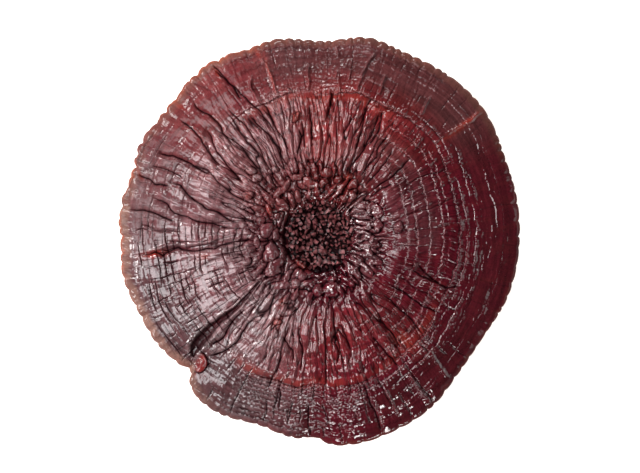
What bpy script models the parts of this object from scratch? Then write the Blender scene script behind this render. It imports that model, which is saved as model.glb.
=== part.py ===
# A whole reishi mushroom, picked and dried: one broad round cap with a sunken middle, standing on
# a short stub of its stem that is cut off flat.
#
# Frame: metres, +Z up. The origin is the middle of the stem's flat cut, which stands on the surface.
# Angles run anticlockwise from +X, seen from above. A place on the cap is given by its angle and
# either by its distance from the middle or by its share of the way out to the rim.
import math

import bpy
import numpy as np

MM = 0.001
TURN = 2 * math.pi

# Driving dimensions, in millimetres.
CAP_REACH = 120.0  # mean distance from the cap's middle to its rim
SEAT_HEIGHT = 14.0  # height of the cap's underside above the surface, over the stem
STEM_RADIUS = 21.0
STEM_GAP = 0.3  # the stem's top stays this far under the cap
CAP_TRIANGLES = 9000  # what the finished cap is thinned to

# The cap's section: share of the way out, and height. Down from the middle of the top, round the rim.
TOP_SECTION = [(0, 25), (0.08, 25.4), (0.15, 27.5), (0.22, 32), (0.30, 35.2), (0.41, 36.4),
               (0.56, 35), (0.72, 31.4), (0.86, 26.6), (0.94, 22.8)]
RIM_SECTION = [(0.975, 20), (0.994, 17), (1, 14), (0.992, 11), (0.965, 9)]
UNDER_SECTION = [(0.9, 8.2), (0.74, 9), (0.52, 11.6), (0.36, 13.6)]
SEAT_SHARE = 0.28  # inside this share the underside is flat, at SEAT_HEIGHT
TURNED_STEPS = 288
FUNNEL_STEP, OUTER_STEP, UNDER_STEP = 1.0, 1.6, 7.0  # spacing of the turned section's points
FUNNEL_RADIUS = 46.0

# The rim's distance from the middle at chosen angles, in degrees.
OUTLINE = [(0, 119), (10, 120), (22, 120.5), (38, 124.5), (52, 123.5), (66, 121), (76, 123),
           (90, 118.5), (104, 122), (125, 124), (145, 119), (152, 121), (161, 118.5), (175, 121.5),
           (190, 120.5), (204, 116.5), (213, 117), (222, 114), (231, 120), (238, 122), (252, 118.5),
           (266, 122), (276, 126), (290, 125.5), (304, 122), (315, 115), (328, 113.2), (342, 117)]

# The notch in the rim where one lobe tucks under the next: it falls slowly and ends steeply.
NOTCH_ANGLE, NOTCH_DEPTH = 226.9, 9.0
NOTCH_BEFORE, NOTCH_AFTER = 2.0, 0.9  # its width on each side, in degrees

SCALLOP_COUNT = 68
SCALLOP_DEPTH = 1.5
SCALLOP_SEED = 5

# Growth ledges: each is a shallow groove that follows the rim. Offset from the main ledge as a share
# of the way out, depth and half width in millimetres.
MAIN_LEDGE = 0.705
MAIN_LEDGE_SWAY = 0.012  # it lies further out towards +Y and -Y
LEDGES = [(-0.28, 0.8, 1.1), (-0.21, 0.9, 1.1), (-0.148, 0.9, 1.2), (-0.085, 0.9, 1.2),
          (-0.05, 0.9, 1.1), (0.0, 2.2, 1.6), (0.026, 1.4, 1.0), (0.073, 1.7, 1.2),
          (0.115, 1.2, 1.2), (0.155, 1.4, 1.2), (0.19, 1.3, 1.2), (0.22, 1.0, 1.0)]
LEDGE_CELLS, LEDGE_LENGTH, LEDGE_SEED = 22, 40.0, 31  # how a ledge strays from its circle
LEDGE_WANDER = 1.1  # and how far
LEDGE_FADES, LEDGE_FADE_SEED = 12, 47  # stronger and weaker stretches of each ledge

# Wrinkles that run outwards: count round the cap, length of one, height, and how they bend.
RIB_CELLS, RIB_LENGTH, RIB_RISE = 46, 17.0, 2.6
RIB_SEED, FINE_RIB_SEED = 8, 9
BEND_CELLS, BEND_LENGTH, BEND_ANGLE, BEND_SEED = 14, 30.0, 0.05, 3

# Broad swellings of the top, and the wave of the whole rim.
SWELL_CELLS, SWELL_LENGTH, SWELL_RISE, SWELL_SEED = 11, 38.0, 1.6, 2
WAVE_CELLS, WAVE_RISE, WAVE_SEED = 13, 1.5, 77

# Folds that stand out by themselves: path as (degrees, millimetres) from the middle, half width,
# rise (a groove is negative), and how far the anticlockwise side lies below the other.
FOLDS = [
    ([(210, 27), (213, 45), (219, 68), (225, 92), (227.5, 112)], 3.6, -4.2, 3.0),
    ([(222, 38), (227, 56), (230, 84)], 2.0, 1.6, 0),
    ([(229, 36), (233, 58), (232, 88)], 2.2, -1.6, 0),
    ([(178, 30), (183, 56), (187, 70), (183.5, 88), (186, 116)], 1.6, -2.2, 0.8),
    ([(175, 50), (178, 70), (181, 92)], 1.8, 1.3, 0),
    ([(170, 46), (173, 70), (172, 116)], 1.7, -1.6, 0),
    ([(171, 60), (170.5, 80), (166, 104)], 2.2, -2.4, -1.2),
    ([(168, 44), (164.5, 66), (160.5, 84)], 2.0, -2.8, -1.2),
    ([(163, 52), (159, 74), (153, 98)], 2.6, 1.8, 0),
    ([(133, 50), (130.5, 66), (128.5, 82), (131.5, 98), (132, 119)], 2.4, -2.2, 0.8),
    ([(141, 56), (140, 80), (141, 104)], 2.6, 1.8, 0),
    ([(112, 62), (116, 84), (120, 100), (123, 122)], 1.8, -1.7, 0),
    ([(114, 66), (115, 94), (112.5, 117)], 1.6, -1.8, 0),
    ([(104, 74), (106.4, 90), (108.6, 118)], 1.5, 1.4, 0),
    ([(93, 52), (93.5, 78), (92.5, 106)], 1.5, 1.3, 0),
    ([(80, 44), (77, 74), (75.5, 92), (72.5, 117)], 1.7, -1.8, 0),
    ([(66, 40), (63, 62), (64, 84)], 1.8, -1.9, 0),
    ([(50, 34), (46, 66), (50, 92), (52.6, 121)], 1.7, -1.8, 0.6),
    ([(38, 36), (37, 54)], 1.6, -1.8, 0),
    ([(39, 88), (38, 104), (37.6, 124)], 1.6, 1.5, 0.9),
    ([(4, 66), (7, 76), (5, 86)], 1.8, 1.4, 0),
    ([(344, 36), (340, 57), (337, 82)], 1.9, 1.8, 1.0),
    ([(290, 40), (300, 58), (303, 82)], 2.6, 1.9, 0),
    ([(317, 46), (318, 70), (316, 88)], 2.0, -1.6, 0),
    ([(302, 90), (303.5, 121)], 1.5, 1.3, 0),
    ([(286, 72), (286.3, 96), (286.8, 124)], 1.7, -1.8, 0),
    ([(241, 76), (244, 108)], 1.8, -1.7, 0),
    ([(258, 70), (260.5, 96), (261, 124)], 1.6, -1.5, 0),
]

# Warts and single lumps: degrees, millimetres from the middle, radius, height.
WARTS = [(150.6, 49, 2.9, 2.4), (152.6, 34, 3.4, 2.8), (236.5, 20, 4.2, 3.0), (101.5, 71, 2.6, 1.8),
         (136.3, 55.6, 4.2, 2.2), (243.6, 56.6, 5.0, 1.8), (6.7, 46.5, 4.4, 2.4), (286, 26, 4.6, 1.8),
         (250.7, 29, 4.6, 2.2), (225.6, 105, 6.4, 2.6)]

# Grains that fill the funnel, and the longer knobs that stand round it.
GRAIN_COUNT, GRAIN_FIELD, GRAIN_RADIUS, GRAIN_RISE = 105, (0.0, 20.0), (1.4, 2.2), (1.4, 2.8)
KNOB_COUNT, KNOB_FIELD, KNOB_RADIUS, KNOB_RISE = 90, (20.0, 45.0), (1.9, 2.9), (1.4, 2.8)
GRAIN_STRETCH, KNOB_STRETCH = (1.0, 1.5), (1.3, 2.6)  # how much longer than wide they are
GOLDEN_TURN = TURN * (3 - math.sqrt(5)) / 2  # successive lumps stand this far round from each other
LUMP_SEED = 21

# The stem's section: share of STEM_RADIUS, share of its height. Down its outer side.
STEM_SECTION = [(0, 1), (1.16, 1), (1.06, 0.84), (0.98, 0.6), (0.97, 0.38), (1.02, 0.16), (1.06, 0),
                (0, 0)]
STEM_STEPS = 48
STEM_SWELLS, STEM_SWELL_LENGTH, STEM_SWELL_RISE, STEM_SEED = 9, 22.0, 1.4, 55

COLOURS = {"cap": (0.115, 0.022, 0.024), "stem": (0.085, 0.026, 0.018)}
ROUGHNESS = 0.34


def smooth_step(low, high, value):
    """0 below low, 1 above high, with a smooth change between."""
    t = np.clip((value - low) / (high - low), 0, 1)
    return t * t * (3 - 2 * t)


def curve_through(points, at):
    """Values of a smooth curve through (place, value) points, read at the given places."""
    place, value = np.array(points, float).T
    slope = np.gradient(value, place)
    i = np.clip(np.searchsorted(place, at, side="right") - 1, 0, len(place) - 2)
    span = place[i + 1] - place[i]
    t = np.clip((at - place[i]) / span, 0, 1)
    rise = (2 * t**3 - 3 * t**2 + 1) * value[i] + (3 * t**2 - 2 * t**3) * value[i + 1]
    return rise + span * ((t**3 - 2 * t**2 + t) * slope[i] + (t**3 - t**2) * slope[i + 1])


def rim_distance(angle):
    """The smooth outline at an angle, in millimetres."""
    wrapped = [(a - 360, r) for a, r in OUTLINE[-3:]] + OUTLINE + [(a + 360, r) for a, r in OUTLINE[:3]]
    return curve_through(wrapped, np.degrees(angle) % 360)


def rim_cuts(angle):
    """What the scallops and the notch take off the outline, in millimetres."""
    random = np.random.default_rng(SCALLOP_SEED)
    widths = random.uniform(0.55, 1.45, SCALLOP_COUNT)
    edges = np.concatenate([[0], np.cumsum(widths)]) / widths.sum() * 360
    depths = SCALLOP_DEPTH * random.uniform(0.5, 1.3, SCALLOP_COUNT)
    degrees = np.degrees(angle) % 360
    i = np.clip(np.searchsorted(edges, degrees, side="right") - 1, 0, SCALLOP_COUNT - 1)
    across = 2 * (degrees - edges[i]) / (edges[i + 1] - edges[i]) - 1
    scallops = depths[i] * np.abs(across) ** 2.6
    past = degrees - NOTCH_ANGLE
    width = np.where(past < 0, NOTCH_BEFORE, NOTCH_AFTER)
    return scallops + NOTCH_DEPTH * np.exp(-np.abs(past / width) ** 1.5)


def wrapped_noise(angle, row, cells, seed):
    """Smooth noise from -1 to 1 on a grid that closes round the cap: cells round, rows outwards."""
    rows = 64  # outwards, past which it repeats
    turns = np.random.default_rng(seed).uniform(0, TURN, (cells, rows))
    u, v = angle / TURN * cells, row
    i, j = np.floor(u).astype(int), np.floor(v).astype(int)
    fu, fv = u - i, v - j
    su, sv = fu**3 * (fu * (6 * fu - 15) + 10), fv**3 * (fv * (6 * fv - 15) + 10)
    total = 0
    for di, wu in ((0, 1 - su), (1, su)):
        for dj, wv in ((0, 1 - sv), (1, sv)):
            turn = turns[(i + di) % cells, (j + dj) % rows]
            total = total + wu * wv * (np.cos(turn) * (fu - di) + np.sin(turn) * (fv - dj))
    return 1.5 * total


def fold_relief(x, y, path, half_width, rise, drop):
    """The height that one fold adds at x, y: strongest on its path, fading at both ends."""
    points = [(r * math.cos(math.radians(a)), r * math.sin(math.radians(a))) for a, r in path]
    best, side, along = np.full(x.shape, 1e9), np.zeros(x.shape), np.zeros(x.shape)
    lengths = [math.dist(p, q) for p, q in zip(points, points[1:])]
    gone = 0
    for (px, py), (qx, qy), length in zip(points, points[1:], lengths):
        ux, uy = (qx - px) / length, (qy - py) / length
        t = np.clip((x - px) * ux + (y - py) * uy, 0, length)
        dx, dy = x - px - t * ux, y - py - t * uy
        near = np.hypot(dx, dy)
        closer = near < best
        best = np.where(closer, near, best)
        side = np.where(closer, ux * dy - uy * dx, side)
        along = np.where(closer, (gone + t) / sum(lengths), along)
        gone += length
    ends = smooth_step(0, 0.18, along) * (1 - smooth_step(0.86, 1, along))
    reach = np.exp(-((best / half_width) ** 2))
    lean = -np.tanh(side / half_width) * np.exp(-((best / (4 * half_width)) ** 2))
    return ends * (rise * reach + 0.5 * drop * lean)


def scattered(count, field, radii, stretch, rises, turn_spread, random):
    """Lumps spread evenly over a ring: x, y, direction, half length, half width and height."""
    made = []
    for k in range(count):
        r = math.sqrt(field[0] ** 2 + (field[1] ** 2 - field[0] ** 2) * (k + 0.5) / count)
        a = k * GOLDEN_TURN + random.normal(0, 0.8) / max(r, 1)
        size = random.uniform(*radii)
        made.append((r * math.cos(a), r * math.sin(a), a + random.normal(0, turn_spread),
                     size * random.uniform(*stretch), size, random.uniform(*rises)))
    return made


def lumps():
    """Every lump on the cap: the grains, the knobs round them and the single warts."""
    random = np.random.default_rng(LUMP_SEED)
    made = scattered(GRAIN_COUNT, GRAIN_FIELD, GRAIN_RADIUS, GRAIN_STRETCH, GRAIN_RISE, 2, random)
    made += scattered(KNOB_COUNT, KNOB_FIELD, KNOB_RADIUS, KNOB_STRETCH, KNOB_RISE, 0.3, random)
    for degrees, r, size, height in WARTS:
        a = math.radians(degrees)
        made.append((r * math.cos(a), r * math.sin(a), a, 1.1 * size, size, height))
    return made


def lump_relief(x, y):
    """The height of the tallest lump at x, y."""
    tallest = np.zeros(x.shape)
    for cx, cy, turn, long, wide, height in lumps():
        ux, uy = math.cos(turn), math.sin(turn)
        u, v = (x - cx) * ux + (y - cy) * uy, (y - cy) * ux - (x - cx) * uy
        inside = np.clip(1 - (u / long) ** 2 - (v / wide) ** 2, 0, 1)
        tallest = np.maximum(tallest, height * np.sqrt(inside))
    return tallest


def ledge_relief(angle, share, radius):
    """The growth ledges, as grooves that follow the rim and stray a little."""
    main = MAIN_LEDGE - MAIN_LEDGE_SWAY * np.cos(2 * angle)
    stray = LEDGE_WANDER * wrapped_noise(angle, radius / LEDGE_LENGTH, LEDGE_CELLS, LEDGE_SEED)
    total = 0
    for k, (offset, depth, half_width) in enumerate(LEDGES):
        off = (share - main - offset) * CAP_REACH + stray
        strength = 0.75 + 0.6 * wrapped_noise(angle, 0.5 + k, LEDGE_FADES, LEDGE_FADE_SEED)
        total = total - depth * strength * np.exp(-((off / half_width) ** 2))
    return total


def rib_relief(angle, radius):
    """Wrinkles that run outwards: rounded backs with sharp creases between them."""
    bend = BEND_ANGLE * wrapped_noise(angle, radius / BEND_LENGTH, BEND_CELLS, BEND_SEED)
    wrinkle = wrapped_noise(angle + bend, radius / RIB_LENGTH, RIB_CELLS, RIB_SEED)
    fine = wrapped_noise(angle + bend, 1.4 * radius / RIB_LENGTH, 2 * RIB_CELLS, FINE_RIB_SEED)
    return np.abs(wrinkle) ** 0.7 + 0.4 * np.abs(fine) ** 0.8


def top_relief(angle, share, radius):
    """All that stands out from the plain turned top, in millimetres."""
    x, y = radius * np.cos(angle), radius * np.sin(angle)
    outside_funnel = smooth_step(0.24, 0.4, share)
    rib_strength = outside_funnel * (1 - 0.62 * smooth_step(0.6, 0.8, share))
    swell = wrapped_noise(angle, radius / SWELL_LENGTH, SWELL_CELLS, SWELL_SEED)
    height = SWELL_RISE * outside_funnel * swell
    height = height + RIB_RISE * rib_strength * (rib_relief(angle, radius) - 0.45)
    height = height + outside_funnel * ledge_relief(angle, share, radius)
    for fold in FOLDS:
        height = height + fold_relief(x, y, *fold)
    return height + lump_relief(x, y)


def turned_section():
    """The cap's section as closely spaced points, in millimetres, from the top's middle round the rim."""
    seat = [(SEAT_SHARE, SEAT_HEIGHT), (0, SEAT_HEIGHT)]
    corners = np.array(TOP_SECTION + RIM_SECTION + UNDER_SECTION + seat, float)
    corners[:, 0] *= CAP_REACH
    run = np.concatenate([[0], np.cumsum(np.hypot(*np.diff(corners, axis=0).T))])
    rim_end = run[len(TOP_SECTION + RIM_SECTION)]
    places = np.concatenate([np.arange(0, FUNNEL_RADIUS, FUNNEL_STEP),
                             np.arange(FUNNEL_RADIUS, rim_end, OUTER_STEP),
                             np.arange(rim_end, run[-1], UNDER_STEP)[:-1], run[-1:]])
    across = curve_through(list(zip(run, corners[:, 0])), places)
    height = curve_through(list(zip(run, corners[:, 1])), places)
    across[[0, -1]] = 0
    over_stem = (places > rim_end) & (across < SEAT_SHARE * CAP_REACH)
    height[over_stem] = SEAT_HEIGHT
    return np.column_stack([np.maximum(across, 0), height])


def turned_object(name, section, steps):
    """A solid turned about Z from a section in millimetres that starts and ends on the axis."""
    mesh = bpy.data.meshes.new(name + "_section")
    corners = [(x * MM, 0, z * MM) for x, z in section]
    mesh.from_pydata(corners, [(i, i + 1) for i in range(len(corners) - 1)], [])
    guide = bpy.data.objects.new(name + "_section", mesh)
    bpy.context.scene.collection.objects.link(guide)
    screw = guide.modifiers.new("turn", "SCREW")
    screw.steps = screw.render_steps = steps
    screw.use_merge_vertices = True
    screw.merge_threshold = 1e-6
    turned = bpy.data.meshes.new_from_object(guide.evaluated_get(bpy.context.evaluated_depsgraph_get()))
    bpy.data.objects.remove(guide)
    turned.name = name
    return bpy.data.objects.new(name, turned)


def place_points(obj, move):
    """Passes the object's points, in millimetres, through a function, and puts them back."""
    mesh = obj.data
    flat = np.empty(3 * len(mesh.vertices), np.float32)
    mesh.vertices.foreach_get("co", flat)
    moved = move(flat.reshape(-1, 3).astype(float) / MM) * MM
    mesh.vertices.foreach_set("co", moved.astype(np.float32).ravel())
    mesh.update()


def shape_cap(points):
    """Turns the plain disc into the cap: its outline, its waving rim, and everything on its top."""
    x, y, z = points.T
    angle = np.arctan2(y, x) % TURN
    share = np.hypot(x, y) / CAP_REACH
    top = curve_through(TOP_SECTION + RIM_SECTION[:2], np.clip(share, 0, 1))
    lowest = RIM_SECTION[-1][1]
    on_top = smooth_step(0.55, 0.97, (z - lowest) / (top - lowest)) * (z > SEAT_HEIGHT + 0.5)
    radius = share * rim_distance(angle) - rim_cuts(angle) * smooth_step(0.82, 1, share) * share
    fade = 1 - smooth_step(0.93, 1, share)
    wave = WAVE_RISE * smooth_step(0.45, 1, share) * wrapped_noise(angle, 0.5, WAVE_CELLS, WAVE_SEED)
    height = z + wave + on_top * (0.35 + 0.65 * fade) * top_relief(angle, share, radius)
    return np.column_stack([radius * np.cos(angle), radius * np.sin(angle), height])


def shape_stem(points):
    """Makes the stem's side a little uneven. Both its ends stay flat."""
    x, y, z = points.T
    angle = np.arctan2(y, x) % TURN
    swell = STEM_SWELL_RISE * wrapped_noise(angle, 0.5 + z / STEM_SWELL_LENGTH, STEM_SWELLS, STEM_SEED)
    grown = 1 + swell * np.hypot(x, y) / STEM_RADIUS**2
    return np.column_stack([x * grown, y * grown, z])


def finish(obj, collection):
    """Gives the object its material and smooth shading, and puts it in the collection."""
    material = bpy.data.materials.new(obj.name + "_crust")
    material.use_nodes = True
    shader = material.node_tree.nodes["Principled BSDF"]
    shader.inputs["Base Color"].default_value = (*COLOURS[obj.name], 1)
    shader.inputs["Roughness"].default_value = ROUGHNESS
    shader.inputs["Metallic"].default_value = 0
    obj.data.materials.append(material)
    obj.data.shade_smooth()
    collection.objects.link(obj)


def make_cap(collection):
    cap = turned_object("cap", turned_section(), TURNED_STEPS)
    place_points(cap, shape_cap)
    finish(cap, collection)
    thin = cap.modifiers.new("thin", "DECIMATE")
    triangles = sum(len(face.vertices) - 2 for face in cap.data.polygons)
    thin.ratio = CAP_TRIANGLES / triangles
    return cap


def make_stem(collection):
    height = SEAT_HEIGHT - STEM_GAP
    section = [(across * STEM_RADIUS, up * height) for across, up in STEM_SECTION]
    stem = turned_object("stem", section, STEM_STEPS)
    place_points(stem, shape_stem)
    finish(stem, collection)
    return stem


def main():
    for obj in list(bpy.data.objects):
        bpy.data.objects.remove(obj)
    mushroom = bpy.data.collections.new("reishi_mushroom")
    bpy.context.scene.collection.children.link(mushroom)
    make_cap(mushroom)
    make_stem(mushroom)


main()
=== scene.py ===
# Looks of a reishi mushroom: one broad lacquered cap, seen from straight above, on a short cut stem.
import math
from functools import partial, reduce

import bpy
import numpy as np
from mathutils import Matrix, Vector


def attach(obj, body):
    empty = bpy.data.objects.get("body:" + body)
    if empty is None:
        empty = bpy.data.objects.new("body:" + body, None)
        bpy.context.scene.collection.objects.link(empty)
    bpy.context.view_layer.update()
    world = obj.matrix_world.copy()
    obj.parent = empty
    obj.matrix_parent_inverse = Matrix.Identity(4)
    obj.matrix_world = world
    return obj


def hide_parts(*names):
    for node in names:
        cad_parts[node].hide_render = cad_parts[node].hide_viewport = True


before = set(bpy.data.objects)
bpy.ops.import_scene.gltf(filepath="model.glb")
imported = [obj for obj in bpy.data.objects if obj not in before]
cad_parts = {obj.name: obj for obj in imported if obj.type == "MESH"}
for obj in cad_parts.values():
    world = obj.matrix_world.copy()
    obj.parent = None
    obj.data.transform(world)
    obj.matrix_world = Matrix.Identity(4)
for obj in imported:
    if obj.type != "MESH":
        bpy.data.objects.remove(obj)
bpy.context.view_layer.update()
print("packed cap and stem loaded")

mm = 0.001
fullTurn = 2 * math.pi


# Shape helpers: lengths in millimetres; sectors in degrees from +X, anticlockwise

def ramp(low, high, value):  # a smooth step from 0 to 1
    t = np.clip((value - low) / (high - low), 0, 1)
    return t * t * (3 - 2 * t)


def band(low, high, top, end, value):  # up to 1 from low to high, and back to 0 from top to end
    return ramp(low, high, value) * (1 - ramp(top, end, value))


def bell(value, width):  # 1 at 0, fading evenly to both sides
    return np.exp(-((value / width) ** 2))


def largest(*values):
    return reduce(np.maximum, values)


def polar(x, y):
    return np.arctan2(y, x) % fullTurn, np.hypot(x, y)


def runAlong(corners):  # how far along a line of corners each one lies
    return np.concatenate([[0], np.cumsum(np.hypot(*np.diff(corners, axis=0).T))])


def curveThrough(points, at):  # smooth curve through (place, value) points
    place, value = np.array(points, float).T
    slope = np.gradient(value, place)
    i = np.clip(np.searchsorted(place, at, side="right") - 1, 0, len(place) - 2)
    span = place[i + 1] - place[i]
    t = np.clip((at - place[i]) / span, 0, 1)
    rise = (2 * t**3 - 3 * t**2 + 1) * value[i] + (3 * t**2 - 2 * t**3) * value[i + 1]
    return rise + span * ((t**3 - 2 * t**2 + t) * slope[i] + (t**3 - t**2) * slope[i + 1])


def roundCurve(points, angle):  # the same, for (degrees, value) points that close round the cap
    wrapped = [(a - 360, v) for a, v in points[-3:]] + points + [(a + 360, v) for a, v in points[:3]]
    return curveThrough(wrapped, np.degrees(angle) % 360)


def noise(angle, row, cells, seed):  # smooth noise, -1 to 1, cells round the cap, rows outwards
    rows = 256
    turns = np.random.default_rng(seed).uniform(0, fullTurn, (cells, rows))
    u, v = angle / fullTurn * cells, row
    i, j = np.floor(u).astype(int), np.floor(v).astype(int)
    fu, fv = u - i, v - j
    su, sv = fu**3 * (fu * (6 * fu - 15) + 10), fv**3 * (fv * (6 * fv - 15) + 10)
    total = 0
    for di, wu in ((0, 1 - su), (1, su)):
        for dj, wv in ((0, 1 - sv), (1, sv)):
            swing = turns[(i + di) % cells, (j + dj) % rows]
            total = total + wu * wv * (np.cos(swing) * (fu - di) + np.sin(swing) * (fv - dj))
    return 1.5 * total


def flatNoise(x, y, size, seed):  # the same noise, in squares of the given size
    return noise(fullTurn * x / size / 256, y / size + 128, 256, seed)


def sector(angle, middle, half, soft):  # 1 within half degrees of the middle, fading over soft degrees
    off = np.abs((np.degrees(angle) - middle + 180) % 360 - 180)
    return 1 - ramp(half, half + soft, off)


def inOval(x, y, cx, cy, long, wide, direction):  # 1 in its middle, 0 on its edge, less outside
    ux, uy = math.cos(math.radians(direction)), math.sin(math.radians(direction))
    u, v = (x - cx) * ux + (y - cy) * uy, (y - cy) * ux - (x - cx) * uy
    return 1 - (u / long) ** 2 - (v / wide) ** 2


def spot(x, y, *oval):  # a soft oval patch
    return np.exp(inOval(x, y, *oval) - 1)


def lobes(angle, count, random, least, most):  # which of the uneven lobes it is on, and -1 to 1 across that
    widths = random.uniform(least, most, count)
    edges = np.concatenate([[0], np.cumsum(widths)]) / widths.sum() * 360
    degrees = np.degrees(angle) % 360
    i = np.clip(np.searchsorted(edges, degrees, side="right") - 1, 0, count - 1)
    return i, 2 * (degrees - edges[i]) / (edges[i + 1] - edges[i]) - 1


def lobed(angle, count, bulge, seed):  # a scalloped edge: 0.6 bulges between the notches
    across = lobes(angle, count, np.random.default_rng(seed), 0.5, 1.5)[1]
    return bulge * (np.abs(across) ** 2.2 - 0.4)


# The cap's shape

cap = {
    "reach": 120.0,
    "seatHeight": 14.0,
    "seatShare": 0.28,
    "topSection": [(0, 25), (0.08, 25.4), (0.15, 27.5), (0.22, 32), (0.30, 35.2), (0.41, 36.4),
                   (0.56, 35), (0.72, 31.4), (0.86, 26.6), (0.94, 23.7)],
    "rimSection": [(0.975, 22.2), (0.991, 20.9), (0.9985, 18.4), (1, 15.5), (0.995, 12.4), (0.97, 9.4)],
    "underSection": [(0.9, 8.2), (0.74, 9), (0.52, 11.6), (0.36, 13.6)],
    "turnedSteps": 1500,
    "rimShare": 0.925,  # from here outwards the crust is one mesh with the underside
    "rimSpacing": 0.42,
    "hiddenSpacing": 4.0,
    "underSpacing": 2.2,
    "triangles": 150000,
    "overlap": 0.006,
    "hiddenDepth": 6.5,  # how far below the fine meshes it runs inside them
    "tuck": 0.26,  # how far a fine mesh's outer edge dips under the next one
    "backDepth": 6.0,  # how far a fine mesh's back lies below its top
    "outline": [(0, 119.8), (10, 120.3), (22, 120.5), (38, 124.5), (52, 123.7), (66, 121.8), (76, 123),
                (88, 117.6), (104, 121.6), (112, 120.8), (118, 123), (126, 123.8), (135, 120.8), (145, 120.4),
                (152, 122), (161, 119.6), (173, 121.5), (183, 119.8), (190, 120.8), (204, 117.9),
                (213, 117.2), (222, 114.2), (226.2, 112.8), (227.8, 116.8), (231, 120.4), (238, 122.4),
                (252, 119), (264, 121.8), (268.5, 120.6), (273, 125), (278, 126.2), (290, 125), (304, 122),
                (315, 116.8), (328, 114.9), (342, 118.3)],
    "notch": (226.9, 1.8, 0.5, 0.4),  # degrees, depth, width before and after it in degrees
    "scallops": (94, 1.0, 5),  # count, depth, seed
    "bigScallops": (58, 1.5, 7),  # those at the upper left
    "smallScallops": (112, 0.85, 6),  # those at the top of the picture
    "swell": (11, 38.0, 1.6, 2),  # cells round, length, rise, seed
    "rimWave": (13, 1.5, 77),
}

# The crust's top is three fine meshes: each one's edge dips just under the next one outwards.
rounds = {  # reach in millimetres, rings, steps round, triangles, how far it lies above the next one
    "capMiddle": ((0, 46.5), 137, 720, 190000, 0.12),
    "capInside": ((43.6, 84.5), 112, 1320, 196000, 0.06),
    "capOutside": ((81.6, None), 80, 1800, 196000, 0.0),
}

ledges = {
    "main": [(0, 0.69), (20, 0.69), (36, 0.70), (52, 0.706), (63, 0.707), (80, 0.716), (90, 0.719), (109, 0.71),
             (130, 0.69), (151, 0.70), (180, 0.69), (225, 0.72), (248, 0.755), (261, 0.75), (272, 0.72),
             (291, 0.716), (306, 0.71), (317, 0.73), (335, 0.70)],
    # offset from the main ledge as a share of the way out, height, half width of its steep inner face
    "steps": [(-0.33, 0.6, 0.5), (-0.29, 0.7, 0.5), (-0.25, 0.8, 0.5), (-0.205, 0.9, 0.45), (-0.175, 0.5, 0.4),
              (-0.14, 0.9, 0.45), (-0.11, 0.5, 0.4), (-0.077, 0.9, 0.45), (-0.047, 0.7, 0.45),
              (0.0, 1.5, 0.5), (0.02, 0.7, 0.4), (0.037, 0.8, 0.4), (0.06, 0.45, 0.35), (0.08, 0.8, 0.4),
              (0.105, 0.45, 0.35), (0.13, 0.8, 0.4), (0.155, 0.5, 0.35), (0.184, 0.95, 0.4),
              (0.21, 0.6, 0.35), (0.236, 0.35, 0.35)],
    "fall": 2.2,  # how far a ledge's gentle outer face runs
    "leftOutOnRight": (-0.29, -0.175, -0.11, 0.02, 0.06),
    "lobes": (58, 0.8),  # count round the cap, bulge
    "beads": (170, 0.35),
    "ticks": (330, 0.8),
    "dashes": (150, 0.32),  # short raised pieces along the ledges outside
}

ribs = {  # cells round, length, rise, seed
    "inner": (76, 30.0, 2.6, 8),
    "outer": (148, 34.0, 1.9, 9),
    "fine": (250, 17.0, 0.7, 10),
    "finest": (430, 6.0, 0.42, 12),
    "flow": (26, 46.0, 2.8, 13),
}
ribLean = 0.55

cracks = {
    "coarse": (3.7, 92, 0.34, 140),  # spacing outwards, count round, half width, seed
    "depth": 0.7,
    "grooves": (88, 0.42, 160),  # count round, half width, seed
}

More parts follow.
